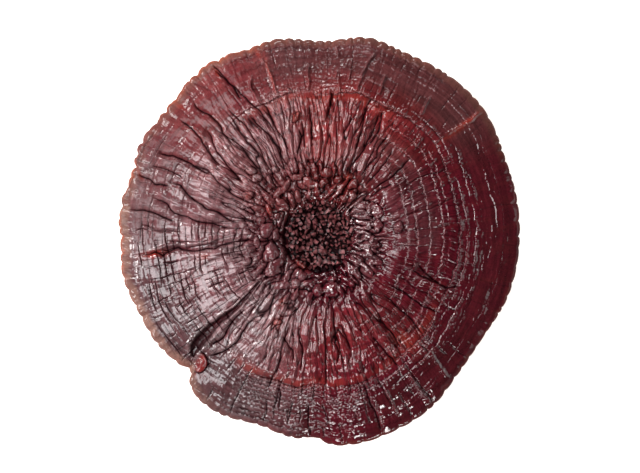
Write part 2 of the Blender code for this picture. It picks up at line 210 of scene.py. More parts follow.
# Folds that stand out: half width, rise, how far the anticlockwise side lies below the other, and
# then the path, as degrees and mm from the middle in turn.
folds = [
    (0.9, -1.9, 0.4, 224.2, 59.1, 224.6, 75.1, 225.3, 83.3, 225.1, 93.3),
    (1.1, -1.6, 2.2, 232.2, 58.7, 231.6, 72.3, 231.6, 77.8, 230.3, 83.7, 228.7, 90.2, 227.2, 98.9),
    (1.6, 1.2, 0, 223.5, 62.8, 223, 74.7, 223.5, 83.6, 223.7, 92.1),
    (0.9, -1.1, 0, 222.4, 47.1, 229.2, 64.2, 229.7, 77.9),
    (1.2, -2.4, 0.9, 186.7, 112.4, 186.2, 106.2, 185.3, 98.2, 187, 93.1, 184.9, 84.3, 186.7, 72.5, 186.5,
     63.4, 185.2, 59, 182.9, 48.1, 180, 34.8),
    (1.2, 1.5, 0, 184.9, 104.8, 184.1, 93.2, 183.2, 79.9, 183, 68.5, 182.3, 58.8),
    (0.7, -1, 0, 184.3, 80.6, 184.4, 69.8, 183.8, 63.1),
    (1.3, -2.4, -1.8, 166.2, 105.6, 167.8, 93.3, 171.3, 86.8, 172.4, 76.9, 173.1, 65.3, 174.6, 50.6),
    (1.1, -1.9, 0.6, 171.7, 117, 171.5, 105.6, 172.7, 94.4, 173.9, 84.5),
    (1.3, -2.4, 1.6, 160.7, 97.9, 160.2, 88.6, 163, 77.8, 165.7, 70.6, 168.1, 58.2, 170.2, 45.7),
    (2.6, 1.6, 0, 164.3, 108.5, 165.3, 96.8, 167.6, 83.6, 170.1, 70, 171.5, 57),
    (1.1, -1.8, -1, 160.3, 116, 162.3, 102.7, 161.6, 93),
    (1, -1.6, 0.8, 153, 109.7, 150.8, 98.3, 150.6, 85.4, 150.7, 72.3),
    (0.9, -1.2, 0, 157.9, 110.1, 156.6, 98.1, 157, 87.4), (0.8, -1, 0, 176.5, 108.8, 177.5, 96.1, 178.3, 81),
    (0.9, -1.4, 0.5, 122, 124.5, 121.1, 109.3, 119.9, 91.4),
    (1.2, -2, 0.9, 132.9, 114.6, 133.4, 106.5, 131.8, 92.6, 132.3, 82, 131.1, 74, 130.5, 60),
    (1.2, -2.4, -1.2, 137, 95.1, 137.8, 86.7, 140.8, 79.7, 141.6, 73.5, 146.1, 52.8),
    (0.9, -1.5, 0, 132.4, 74.7, 131.4, 68, 131.8, 61.2, 131.7, 52.3),
    (1, -1.7, 0.5, 120.8, 84.5, 116.1, 66.8, 115.4, 51.8),
    (1.9, 1.4, 0, 132, 87.9, 131.2, 76.5, 131.5, 63.3),
    (1.1, -1.5, 0.7, 140.9, 111.3, 140.6, 99.3, 142, 86.8, 145.6, 71.2),
    (0.8, -1.4, 0, 98.3, 70.3, 99.8, 53), (0.8, 1.1, 0, 112.6, 106, 114.8, 95.8, 113.4, 86.3),
    (0.8, -1.3, 0, 270.3, 100.2, 272.8, 109.9), (0.8, 1.1, 0, 287.1, 75.3, 287.1, 89.8),
    (1.2, -1.5, 0, 345.3, 58.9, 340.1, 68.9, 338.2, 77.5), (2.6, 1.8, 0, 141, 56, 140, 80, 141, 104),
    (1.8, -1.7, 0, 112, 62, 116, 84, 120, 100, 123, 122), (1.8, -1.9, 0, 66, 40, 63, 62, 64, 84),
    (1.6, -1.8, 0, 38, 36, 37, 54), (1.8, 1.4, 0, 4, 66, 7, 76, 5, 86),
    (1.9, 1.8, 1, 344, 36, 340, 57, 337, 82), (2.6, 1.9, 0, 290, 40, 300, 58, 303, 82),
    (2, -1.6, 0, 317, 46, 318, 70, 316, 88),
    (0.7, 1.3, 0.4, 108.1, 113.7, 107.2, 107.4, 107.2, 101.7, 106.6, 96.4, 106.8, 89, 106.9, 85.9),
    (0.8, 1.2, 0.4, 113.8, 104.2, 114.7, 96.4, 114.5, 88.3, 113.9, 81.4),
    (0.6, 1.1, 0.3, 93.3, 103.4, 93.7, 97.4, 93.3, 92.6, 94, 85.4),
    (0.8, -1.8, 0.8, 93.7, 79.4, 93.9, 70.4, 94.8, 61.4, 93.7, 55.3),
    (0.8, 1.3, 0.8, 72.8, 115.6, 74.4, 109, 75, 101.9, 75.6, 94.2, 76, 86.6),
    (0.8, 1.2, 0.6, 68.1, 104.7, 67.5, 98.7, 66.8, 91.4), (0.6, 1.1, 0.3, 78.9, 102.7, 79, 94.1),
    (0.5, 0.9, 0.2, 83.8, 99.6, 84.2, 94.7), (0.7, 0.9, 0, 85.2, 113.8, 84.7, 106.7),
    (1, 1.4, 1, 86.9, 88.9, 86.3, 84.2, 86.9, 78.1, 88.5, 68.4),
    (0.8, -1.6, 0, 86.3, 87.2, 85.4, 83.1, 85.8, 78.2, 87.1, 70.3),
    (0.8, -1.9, 0.8, 100.9, 66.6, 100.9, 60.5, 102.3, 56.5, 105.6, 49.2),
    (0.9, -1.8, 0.8, 78, 60.7, 75.4, 68.8, 74.9, 73.9),
    (0.9, -1.7, 0.8, 69.4, 54.5, 68.6, 65.7, 69.8, 74.8, 69.6, 82.6),
    (0.9, -1.8, 0.8, 61.1, 59.6, 61.1, 67.1, 61.6, 74.4, 63.6, 85.1),
    (0.9, -1.5, 0.6, 113.2, 88.2, 112.3, 72.6, 111.5, 60.6, 110.8, 50.7),
    (0.6, -0.9, 0, 102.9, 91.7, 100.7, 87.3), (0.7, 1.2, 0.3, 292.9, 97.1, 293.5, 105.3, 294.3, 113.9),
    (0.8, 1.3, 0.4, 302, 96.2, 302.8, 106.3, 303.4, 115.7, 303.1, 121),
    (0.9, -1.8, -0.8, 286.6, 88.3, 286.5, 93.2, 286.9, 103.4, 287.8, 112.1, 287.6, 119, 287.5, 123.9),
    (0.9, -1.9, -0.6, 280.1, 57.9, 278.1, 63.6, 279.4, 69.9, 277.1, 77.4),
    (0.7, 1.1, 0.3, 270.7, 100.8, 272.3, 106.9, 272.8, 111.1),
    (0.8, -1.7, -0.6, 248.6, 62.5, 255.7, 68.1, 257.6, 75.6),
    (1, -1.9, -0.8, 297.5, 64.9, 298.2, 73.6, 301.1, 84.8, 301.4, 92.1),
    (0.9, -1.6, -0.5, 254.9, 92, 256.1, 97.6, 256.2, 105.6),
    (1.1, -1.6, -0.4, 266.2, 99.2, 266.5, 108.8, 267.6, 120.7),
    (0.9, -1.5, 0.5, 46.3, 19.1, 47.6, 28.5, 47.5, 38.2), (0.9, -1.3, 0.4, 47.5, 38.2, 47, 48.4, 50.4, 67.8),
    (0.7, 1.3, 0.5, 50.8, 93, 51.1, 99.4, 51.4, 105.9),
    (0.8, 0.9, 1, 37.8, 124.5, 37.5, 113.4, 37.8, 105.6, 38.3, 94.8),
    (0.9, -1.4, 0.4, 340, 54.3, 338.3, 69.7, 338.2, 80.8, 340.5, 89.8),
    (0.8, -1.5, -0.6, 282, 52.1, 284.7, 63.9, 285.5, 71.6),
    (0.9, -1.6, -0.7, 305.5, 58.9, 306.9, 72, 305.6, 83.4),
    (0.8, -1.5, -0.5, 256.8, 52.4, 259, 63, 261.9, 72.1, 262, 81.8),
    (0.9, -1.1, 0, 252.1, 101.5, 252.9, 109.9, 253, 114.8),
    (0.9, -1.1, 0, 261.2, 97.8, 260.3, 106.5, 260, 113.9), (1, -1.2, 0.3, 153.2, 110, 150.8, 98, 150.5, 85),
    (1.1, -1.3, 0.4, 126, 96, 124, 78, 125, 60, 128, 48), (1, -1.3, 0, 72, 60, 70, 74, 69, 90),
    (0.9, 0.9, 0, 84, 66, 82.5, 84, 83, 100), (1, -1.6, 0, 57, 42, 55, 58, 57, 74),
    (1, -1.5, 0, 42, 40, 40, 58, 41, 72), (0.9, -0.9, 0, 30, 52, 31, 70, 28, 88),
    (0.9, -0.9, 0, 15, 50, 13, 66, 16, 82), (1.1, -1.5, 0, 327, 46, 326, 64, 327, 86),
    (0.9, -0.9, 0, 333, 50, 332, 72, 331, 96), (1.2, -1.6, 0, 281, 40, 279, 60, 281, 80),
    (1.1, -1.5, 0, 272, 44, 273.5, 66, 272, 92), (1, -1.3, 0, 250, 50, 252, 74, 251, 100),
    (1, 1, 0.4, 314, 92, 312, 114),
]
foldLine = 0.55  # half width of the painted shade line along the bottom of each fold

# The deep channel that runs to the notch: x, y, half width, depth.
channel = [(-36, -27, 0.7, 1.2), (-47.5, -40.4, 1.3, 2.6), (-53.5, -45.5, 1.6, 3.0), (-58.6, -49.4, 2.1, 3.4),
           (-63.8, -53.6, 2.8, 3.8), (-68, -58.4, 3.4, 4.0), (-71.5, -62.2, 3.4, 3.8), (-74, -65.6, 2.9, 3.2),
           (-75.4, -68.6, 1.8, 2.4), (-75, -70.8, 0.9, 1.6)]

# The curled lip at its end, which laps over the lobe below: x, y, half length, half width, direction, height.
lip = (-71.6, -75.2, 5.8, 4.6, 75, 1.7)

# Knobs and warts: x, y, half length, half width, direction in degrees, height.
knobs = [
    (-31.2, 3.6, 4.8, 3.6, 80, 3), (-25.8, 0, 4.2, 1.9, 80, 2.4), (-28.8, -10.2, 5.7, 4.8, 70, 2.6),
    (-28.2, -19.8, 4.8, 4.2, 60, 2), (-37.2, -3.6, 3.6, 2.1, 90, 2), (-34.8, 9, 3.6, 2.4, 100, 2),
    (-30, 15.6, 3.3, 2.4, 100, 2.6), (-26.4, 12.6, 2.4, 1.8, 60, 1.6), (-22.2, 19.2, 5.4, 1.8, 120, 2.2),
    (-17.4, 22.2, 5.4, 1.9, 118, 2.4), (-12.6, 23.4, 4.8, 2, 105, 2.4), (-24.6, 26.4, 4.2, 2.4, 45, 2.2),
    (-21, 30, 4.8, 1.8, 50, 2.4), (-28.8, 32.4, 4.2, 1.8, 130, 1.8), (-27.6, 39, 3.6, 2.4, 30, 1.8),
    (-18, 36.6, 4.8, 1.5, 125, 2), (-14.4, 41.4, 4.8, 1.6, 100, 2.2), (-10.8, 40.2, 4.8, 1.4, 95, 2.2),
    (-7.2, 39, 4.2, 1.4, 92, 2), (-3.6, 40.2, 4.2, 1.6, 92, 2.2), (0.6, 41.4, 4.2, 1.6, 90, 2),
    (3.6, 37.2, 3.6, 3, 0, 2.2), (8.4, 40.2, 4.8, 1.5, 85, 2.2), (12.6, 41.4, 4.8, 1.6, 80, 2.2),
    (-12.6, 34.8, 3.6, 1.8, 0, 2), (-6.6, 32.4, 3.6, 2.4, 0, 2.2), (-2.4, 36, 1.7, 1.7, 0, 1.8),
    (-1.8, 28.8, 4.8, 1.8, 100, 2.2), (-6.6, 25.8, 4.8, 1.8, 100, 2.2), (2.4, 31.8, 3.6, 2.1, 20, 1.8),
    (5.4, 25.8, 7.2, 1.6, 50, 2.4), (9, 24.6, 6, 1.3, 52, 2), (13.8, 30, 5.4, 1.8, 60, 2.2),
    (16.8, 35.4, 2.2, 1.9, 0, 2), (19.2, 30, 3.6, 2.7, 70, 2.4), (24, 28.8, 2.2, 1.8, 60, 1.8),
    (13.8, 22.8, 3, 2.4, 0, 2), (19.2, 22.2, 3.6, 1.8, 40, 1.8), (10.8, 34.2, 3, 1.8, 50, 1.8),
    (22.2, 14.4, 5.4, 1.3, 18, 1.8), (24.6, 11.4, 5.4, 1.4, 10, 1.8), (25.2, 8.4, 5.4, 1.2, 5, 1.6),
    (25.2, 5.4, 5.4, 1.3, -2, 1.8), (25.8, 2.4, 4.8, 1.2, -8, 1.6), (16.2, 13.8, 3.6, 2, 100, 2.4),
    (17.4, 7.8, 2.4, 1.6, 10, 1.6), (33.6, 15, 4.2, 3, 100, 1.6), (34.8, 7.2, 4.8, 3, 95, 1.6),
    (30, 18, 3.6, 2.4, 40, 1.5), (21.6, -2.4, 3.6, 1.6, -15, 1.6), (25.8, -1.8, 2.4, 1.4, -10, 1.6),
    (30.6, -1.8, 3, 1.8, 60, 1.8), (27.6, -7.8, 4.8, 1.6, -25, 1.8), (22.8, -15, 5.4, 1.9, -40, 1.8),
    (27.6, -18.6, 5.4, 1.8, -48, 1.6), (21.6, -21, 4.8, 2, -55, 1.8), (32.4, -15, 4.8, 2, -38, 1.4),
    (16.8, -18.6, 4.2, 1.8, -60, 1.8), (15.6, -25.8, 6, 2, -50, 2.2), (-1.2, -31.8, 4.8, 3.9, 20, 2.6),
    (7.2, -31.2, 4.8, 3.9, -20, 2.6), (7.2, -25.2, 3, 2.2, 0, 2), (-10.8, -23.4, 3.6, 3, 70, 2.2),
    (-14.4, -28.2, 3.6, 2.7, 120, 2.2), (-7.8, -28.2, 2.7, 2.4, 0, 1.8), (-19.2, -22.8, 3.6, 2.4, 60, 1.8),
    (-21.6, -28.2, 4.2, 2.4, 50, 1.8), (-10.8, -16.2, 3.9, 2.8, -25, 3), (12.6, -33, 4.2, 1.8, -60, 2),
    (-6, -36.6, 4.2, 1.8, 100, 1.6), (-13.8, -34.8, 4.2, 1.8, 60, 1.6), (-25.2, -30.6, 4.8, 1.8, 45, 1.6),
    (-20.4, -36, 4.2, 1.6, 60, 1.6), (-24.6, -15.6, 3.6, 1.8, 30, 1.8), (4.2, -37.8, 4.8, 1.6, 95, 1.6),
    (19.2, -19.8, 3.6, 2.4, -50, 1.4), (-42.6, 24, 3, 2.8, 0, 2.4), (-40.2, 38.4, 3.6, 3.2, 0, 1.8),
    (-37.2, 33.6, 3, 2.4, 0, 2.4), (-43.2, 19.2, 4.8, 3, 40, 1.2), (-14.4, 70.8, 3.2, 2, 75, 2.2),
    (-25.2, -51, 2.4, 2.6, 60, 2.2), (-22.2, -39, 2.4, 1.6, 60, 2), (-19.8, -43.2, 4.8, 3.6, 60, 1.4),
    (-26.4, -57, 3, 1.4, 80, 1.8), (46.2, 5.4, 4.2, 3, 30, 1.6),
]

middle = {
    "centre": (-0.5, 0.4),  # of the bed of grains
    "bulge": (3, 280, 22, 14),  # how much further the bed reaches, and in which sector
    "edge": (18, 21.5),  # where the painted shade on its floor fades
    "mattEdge": (16, 19.5),
    "ringStart": (17.5, 22),
    "crumple": (6.4, 2.8),  # size of the large and the small lumps
    "moat": (20.5, 2.2, 2.5),  # radius, half width, depth
}


def rimDistance(angle):
    return roundCurve(cap["outline"], angle)


def bedDistance(x, y, angle):  # from the centre of the bed of grains, and less where the bed bulges
    bulge, *where = middle["bulge"]
    away = np.hypot(x - middle["centre"][0], y - middle["centre"][1])
    return away, away - bulge * sector(angle, *where)


def rimCuts(angle):  # what the scallops and the notch take off the outline
    count, depth, seed = cap["scallops"]
    random = np.random.default_rng(seed)
    i, across = lobes(angle, count, random, 0.55, 1.45)
    depths = depth * random.uniform(0.5, 1.3, count)
    scallop = depths[i] * np.abs(across) ** 2.6 * (1 - 0.15 * sector(angle, 350, 70, 20))
    scallop += sector(angle, 148, 28, 8) * (0.4 * cap["bigScallops"][1] + lobed(angle, *cap["bigScallops"]))
    small = sector(angle, 82, 26, 10)
    scallop = (1 - small) * scallop + small * 1.4 * (0.4 + lobed(angle, *cap["smallScallops"]))
    notchAt, notchDepth, before, after = cap["notch"]
    past = np.degrees(angle) % 360 - notchAt
    return scallop + notchDepth * np.exp(-np.abs(past / np.where(past < 0, before, after)) ** 1.5)


def foldRelief(x, y, points, halfWidth, rise, drop):  # height, and the painted shade along the bottom of the fold
    best, side, along = np.full(x.shape, 1e9), np.zeros(x.shape), np.zeros(x.shape)
    lengths = [math.dist(p, q) for p, q in zip(points, points[1:])]
    gone = 0
    for (px, py), (qx, qy), length in zip(points, points[1:], lengths):
        ux, uy = (qx - px) / length, (qy - py) / length
        t = np.clip((x - px) * ux + (y - py) * uy, 0, length)
        dx, dy = x - px - t * ux, y - py - t * uy
        away = np.hypot(dx, dy)
        closer = away < best
        best = np.where(closer, away, best)
        side = np.where(closer, ux * dy - uy * dx, side)
        along = np.where(closer, (gone + t) / sum(lengths), along)
        gone += length
    ends = band(0, 0.18, 0.86, 1, along)
    reach = np.exp(-best / halfWidth) if rise < 0 else bell(best, halfWidth)
    lean = -np.tanh(side / (0.6 * halfWidth)) * bell(best, 4 * halfWidth)
    line = bell(best, foldLine) * min(1, max(0, -rise / 1.4))
    return ends * (rise * reach + 0.5 * drop * lean), ends * line


def allFolds(x, y):
    angle, radius = polar(x, y)
    x = x + 1.5 * noise(angle, radius / 15, 40, 81) + 0.5 * noise(angle, radius / 5, 120, 82)
    y = y + 1.5 * noise(angle, radius / 15, 40, 83) + 0.5 * noise(angle, radius / 5, 120, 84)
    # dark: the folds' painted shade lines
    total, dark = np.zeros(x.shape), np.zeros(x.shape)
    for halfWidth, rise, drop, *path in folds:
        turns = [math.radians(a) for a in path[::2]]
        points = [(r * math.cos(a), r * math.sin(a)) for a, r in zip(turns, path[1::2])]
        (lowX, lowY), (highX, highY) = np.min(points, axis=0), np.max(points, axis=0)
        reach = 6 * halfWidth
        near = (x > lowX - reach) & (x < highX + reach) & (y > lowY - reach) & (y < highY + reach)
        height, line = foldRelief(x[near], y[near], points, halfWidth, rise, drop)
        total[near] += height
        dark[near] = np.maximum(dark[near], line)
    return total, dark


def channelRelief(x, y):  # the channel and the lip: height, the painted shade in the channel and the painted shadow beside the lip's edge, and the lip itself
    x = x + 0.5 * flatNoise(x, y, 5, 221)
    y = y + 0.5 * flatNoise(x, y, 5, 222)
    best, deep = np.full(x.shape, 1e9), np.zeros(x.shape)
    for (px, py, pw, pd), (qx, qy, qw, qd) in zip(channel, channel[1:]):
        ux, uy = qx - px, qy - py
        t = np.clip(((x - px) * ux + (y - py) * uy) / (ux * ux + uy * uy), 0, 1)
        away = np.hypot(x - px - t * ux, y - py - t * uy) / (pw + t * (qw - pw))
        deep = np.where(away < best, pd + t * (qd - pd), deep)
        best = np.minimum(best, away)
    bank = 0.9 * bell(best - 1.5, 0.4) * np.clip(deep / 3, 0, 1)
    height = bank - deep * (1 - ramp(0.25, 1.2, best))
    # painted shade in the channel, deepest along its walls
    dark = 0.5 * (1 - ramp(0.75, 1.15, best)) + 0.4 * bell(best - 0.9, 0.2)
    *oval, rise = lip
    inside = inOval(x, y, *oval)
    beside = 1 - ramp(-0.1, 0.1, inside)
    curl = ramp(0, 0.2, inside) * (0.75 + 0.25 * np.clip(inside, 0, 1)) - 0.25 * ramp(0.75, 0.95, inside)
    curl *= 0.3 + 0.7 * lipRight(x, y)
    # painted shadow along the lip's right side, where it laps over the lobe below
    edge = bell(inside + 0.12, 0.14) * ramp(-1, 2, (x - lip[0]) - 0.4 * (y - lip[1]))
    return height * beside + rise * curl, np.maximum(dark * beside, 0.95 * edge), ramp(-0.05, 0.1, inside)


def lipRight(x, y):  # the lip merges with the lobe on its left
    return ramp(-4.5, 1.5, (x - lip[0]) - 0.5 * (y - lip[1]))


def middleRelief(x, y, angle, radius):  # crumpled glossy ring with knobs round the bed of grains: height, and painted shade between the lumps, round the knobs' feet, in the moat and on the floor under the grains
    bed, inBed = bedDistance(x, y, angle)
    fadeOut = 34 + 9 * sector(angle, 165, 55, 25)
    ring = ramp(*middle["ringStart"], bed) * (1 - ramp(fadeOut, fadeOut + 13, radius))
    largeSize, smallSize = middle["crumple"]
    wx = x + 1.8 * flatNoise(x, y, 8, 201) + 0.6 * flatNoise(x, y, 3, 202)
    wy = y + 1.8 * flatNoise(x, y, 8, 203) + 0.6 * flatNoise(x, y, 3, 204)
    strands = np.maximum(sector(angle, 0, 62, 25), 0.8 * ramp(32, 38, radius))
    bent = angle + 0.06 * noise(angle, radius / 9, 24, 208)
    big = (1 - strands) * np.abs(flatNoise(wx, wy, largeSize, 205))
    big += strands * np.abs(noise(bent, radius / 12, 54, 209))
    small = np.abs(flatNoise(wx, wy, smallSize, 206))
    crumple = (3.4 + 1.6 * strands) * (big**0.7 - 0.4) + 0.9 * (small**0.8 - 0.3)
    # painted shade in the valleys between the lumps
    dark = np.maximum(bell(big, 0.12), 0.6 * bell(small, 0.1))
    tallest, cover, foot = np.zeros((3, *x.shape))
    for cx, cy, long, wide, direction, height in knobs:
        near = np.hypot(x - cx, y - cy) < 1.5 * long + 1
        inside = inOval(wx[near], wy[near], cx, cy, long, wide, direction)
        tallest[near] = np.maximum(tallest[near], height * np.clip(inside, 0, 1) ** 0.5)
        cover[near] = np.maximum(cover[near], ramp(0, 0.35, inside))
        foot[near] = np.maximum(foot[near], bell(inside + 0.1, 0.25))
    lump = 1.35 * tallest * (1 + 0.18 * flatNoise(x, y, 3.2, 207)) + 0.4 * (small - 0.3) * cover
    moatRadius, moatWidth, moatDepth = middle["moat"]
    moat = bell(bed - moatRadius, moatWidth) * sector(angle, 182, 35, 15)
    # painted shade: in the valleys, in a ring round each knob's foot, in the moat and on the floor under the
    # grains
    dark = largest(ring * dark * (1 - 0.8 * cover), 0.85 * foot * (1 - cover), 0.95 * moat,
                   1 - ramp(*middle["edge"], inBed))
    return ring * crumple * (1 - 0.75 * cover) + lump - moatDepth * moat, dark


def ledgeRelief(angle, share, radius):  # height, and the painted shade along the feet of the ledges
    within = partial(sector, angle)
    even = 1 - 0.5 * np.maximum(within(275, 35, 20), within(85, 40, 15)) * ramp(84, 92, radius)
    stray = lobed(angle, *ledges["lobes"], 19) * even + 1.3 * even * noise(angle, radius / 40, 22, 31)
    stray += 0.4 * noise(angle, radius / 12, 90, 32)
    main = roundCurve(ledges["main"], angle)
    tickCount, tickRise = ledges["ticks"]
    dashCount, dashRise = ledges["dashes"]
    clear = ramp(82, 90, radius) * (1 - 0.55 * within(0, 50, 20)) * (1 - 0.8 * within(150, 22, 8))
    clear = clear * (1 - 0.7 * within(304, 20, 10)) * (1 - 0.45 * within(92, 36, 14))
    total, dark = np.zeros((2, *angle.shape))
    for row, (offset, height, halfWidth) in enumerate(ledges["steps"]):
        off = (share - main - offset) * cap["reach"] + stray
        off += (1 - 0.5 * within(0, 50, 20)) * lobed(angle, *ledges["beads"], 300 + row)
        strength = 0.9 + 0.7 * noise(angle, row + 0.5, 24, 47) + 0.25 * noise(angle, row + 0.5, 120, 48)
        strength *= 1 - tickRise * (0.5 - np.abs(noise(angle, row + 0.5, tickCount, 49)))
        if offset in ledges["leftOutOnRight"]:
            strength *= 1 - 0.85 * within(0, 60, 15)
        fall = np.exp(-np.maximum(off - halfWidth, 0) / (ledges["fall"] * (1.5 if offset == 0 else 1)))
        total += height * np.clip(strength, 0, 1.3) * ramp(-halfWidth, halfWidth, off) * fall
        dashed = ramp(0.08, 0.35, noise(angle, row + 0.5, dashCount, 51)) * clear
        total += dashRise * dashed * bell(off - 0.3, 0.4)
        if offset == 0:
            teeth = np.abs(noise(angle, 0.5, 420, 74)) - 0.2
            total += 0.8 * teeth * band(0, 0.5, 1.8, 3, off) * within(80, 38, 12)
        # painted shade along the foot of each ledge's steep face
        foot = bell(off + halfWidth, 0.38)
        dark = np.maximum(dark, foot * np.clip(strength * height, 0, 1))
    return total, dark


def ribLayer(bent, radius, name, sharpness):  # backs that lean to the right, and the painted shade in the creases between them
    cells, length, rise, seed = ribs[name]
    upright = np.abs(noise(bent, radius / length, cells, seed))
    leaning = bent + ribLean * np.sin(bent) * fullTurn / cells * (upright - 0.3)
    wave = np.abs(noise(leaning, radius / length, cells, seed))
    return rise * (wave**sharpness - 0.45), bell(wave, 0.08)


def regions(angle, radius):  # how strong each kind of surface is, from place to place
    within = partial(sector, angle)
    crackle = within(200, 22, 12) * band(38, 48, 108, 114, radius)
    crackle += 0.6 * within(158, 8, 6) * ramp(66, 80, radius)
    crackle += 0.5 * within(234, 4, 5) * ramp(60, 74, radius)
    outer = ramp(82, 90, radius)
    matte = within(98, 42, 16) * ramp(84, 90, radius)
    rings = np.maximum(within(355, 50, 22) * ramp(42, 56, radius), outer * (1 - within(190, 40, 20)))
    rings = rings * (1 - 0.65 * matte) * (1 - 0.75 * ramp(94, 100, radius) * within(0, 45, 18))
    rings *= 1 - 0.55 * ramp(96, 104, radius) * within(315, 25, 12)
    rings *= 1 - 0.85 * within(142, 22, 8)
    return {
        "crackle": np.clip(crackle, 0, 1), "rings": rings, "outer": outer, "matte": matte,
        "strong": np.maximum(within(92, 34, 14), 0.8 * within(277, 34, 16)),
        "flow": largest(within(142, 16, 14), 0.6 * within(185, 12, 10), 0.8 * within(240, 11, 8)),
        "calm": ramp(76, 88, radius) * (1 - within(200, 24, 14)),
    }


def spokeLines(angle, radius, count, turn, width):
    return bell(((angle / fullTurn * count + turn) % 1 - 0.5) * radius * fullTurn / count, width)


def crackGrid(angle, radius, spacing, spokes, width, seed):  # cracks round the cap, and fewer outwards
    sway = 0.6 * noise(angle, radius / 26, 22, seed) + 0.16 * noise(angle, radius / 6, 110, seed + 1)
    turn = 0.5 * noise(angle, radius / 30, 40, seed + 3) + 0.16 * noise(angle, radius / 6, 90, seed + 4)
    ring = bell(((radius / spacing + sway) % 1 - 0.5) * spacing, width)
    spoke = spokeLines(angle, radius, spokes, turn, width)
    return np.maximum(ring * ramp(-0.15, 0.2, noise(angle, radius / 3.5, 24, seed + 2)),
                      spoke * ramp(0.05, 0.3, noise(angle, radius / 12, 80, seed + 5)))


def outerGrooves(angle, radius):  # short grooves that run outwards through the outer ledges
    count, width, seed = cracks["grooves"]
    turn = 0.4 * noise(angle, radius / 40, 30, seed) + 0.1 * noise(angle, radius / 8, 90, seed + 1)
    strength = ramp(-0.15, 0.25, noise(angle, radius / 16, 60, seed + 2)) * ramp(84, 90, radius)
    place = largest(sector(angle, 275, 42, 12), 0.6 * sector(angle, 90, 44, 12),
                    0.4 * sector(angle, 0, 40, 15))
    return spokeLines(angle, radius, count, turn, width) * strength * place


def topRelief(angle, share, radius):  # height above the plain turned top, and the painted shade in its creases, cracks, grooves and folds, and between the knobs
    within = partial(sector, angle)
    x, y = radius * np.cos(angle), radius * np.sin(angle)
    zone = regions(angle, radius)
    outside = ramp(0.24, 0.4, share)
    bent = angle + 0.05 * noise(angle, radius / 32, 14, 3) + 0.016 * noise(angle, radius / 11, 52, 4)
    bent += 0.005 * noise(angle, radius / 5, 150, 6)
    cells, length, rise, seed = cap["swell"]
    height = rise * outside * noise(angle, radius / length, cells, seed)
    height += 0.7 * outside * noise(bent, radius / 11, 46, 14)
    height += 0.3 * outside * (1 - 0.8 * within(140, 24, 10)) * noise(bent, radius / 5, 110, 15)
    fromMain = share - roundCurve(ledges["main"], angle)
    roll = bell(fromMain + 0.02, 0.019) * within(88, 30, 12)
    height += 0.5 * roll
    plain = 0.42 + 0.58 * np.maximum(zone["strong"], within(190, 45, 20) * (1 - ramp(56, 70, radius)))
    plain *= 1 - 0.6 * zone["crackle"]
    plain *= 1 - 0.72 * roll
    change = ramp(58, 80, radius)
    fine = outside * (1 - 0.75 * zone["crackle"]) * (1 - 0.35 * zone["outer"] - 0.45 * zone["calm"])
    finest = ramp(60, 80, radius) * (1 - 0.85 * zone["calm"]) * (1 - 0.7 * zone["crackle"])
    # dark: painted shade in the ribs' creases, along the ledges' feet, in the grooves and in the cracks
    dark = np.zeros(x.shape)
    for name, sharpness, darkness, strength in (
            ("flow", 0.85, 0.9, outside * zone["flow"] * (1 - 0.6 * zone["outer"])),
            ("inner", 0.75, 1.0, outside * plain * (1 - change)),
            ("outer", 0.8, 0.9, outside * plain * change * (1 - 0.78 * zone["outer"])),
            ("fine", 0.8, 0.35, fine),
            ("finest", 0.9, 0.25, finest)):
        back, creaseShade = ribLayer(bent, radius, name, sharpness)
        height += strength * back
        dark = np.maximum(dark, creaseShade * darkness * np.clip(1.3 * strength, 0, 1))
    steps, feet = ledgeRelief(angle, share, radius)
    onMain = bell(fromMain * cap["reach"], 2) * np.maximum(within(85, 35, 15), within(300, 25, 15))
    height += outside * (steps * np.maximum(0.2 + zone["rings"], onMain))
    growth = noise(angle, radius / 1.3 + noise(angle, radius / 9, 60, 71), 90, 72)
    height += outside * 0.05 * (1 - 0.8 * zone["calm"]) * growth
    groove = bell((share - 0.953 + 0.008 * noise(angle, 0.5, 40, 73)) * cap["reach"], 0.7)
    height -= 0.6 * groove * within(84, 34, 15)
    crackled = zone["crackle"] * crackGrid(angle, radius, *cracks["coarse"])
    height -= cracks["depth"] * crackled
    grooved = outerGrooves(angle, radius)
    height -= 0.6 * grooved
    feet = 0.8 * feet * outside * np.maximum(zone["rings"], onMain)
    dark = largest(dark, feet, 0.8 * grooved, crackled)
    deep, lines = allFolds(x, y)
    valley, shaded, lipCover = channelRelief(x, y)
    lumps, gapShade = middleRelief(x, y, angle, radius)
    height = height * (1 - lipCover) + deep + valley + lumps
    return height, largest(dark * (1 - lipCover), shaded, gapShade, lines * (1 - lipCover))


def sectionOf(corners):  # corners in millimetres from shares of the way out, and the run along them
    corners = np.array(corners, float)
    corners[:, 0] *= cap["reach"]
    return corners, runAlong(corners)


def wholeSection():  # the plain half outline, from the middle of the top round to the seat
    seat = [(cap["seatShare"], cap["seatHeight"]), (0, cap["seatHeight"])]
    corners, run = sectionOf(cap["topSection"] + cap["rimSection"] + cap["underSection"] + seat)
    rimStart = np.interp(cap["rimShare"] * cap["reach"], corners[:9, 0], run[:9])
    rimEnd = run[len(cap["topSection"] + cap["rimSection"])]
    places = np.concatenate([np.arange(0, rimStart, cap["hiddenSpacing"]),
                             np.arange(rimStart, rimEnd, cap["rimSpacing"]),
                             np.arange(rimEnd, run[-1], cap["underSpacing"])[:-1], run[-1:]])
    across, height = (curveThrough(list(zip(run, values)), places) for values in corners.T)
    across[[0, -1]] = 0
    height[(places > rimEnd) & (across < cap["seatShare"] * cap["reach"])] = cap["seatHeight"]
    return np.column_stack([np.maximum(across, 0), height])


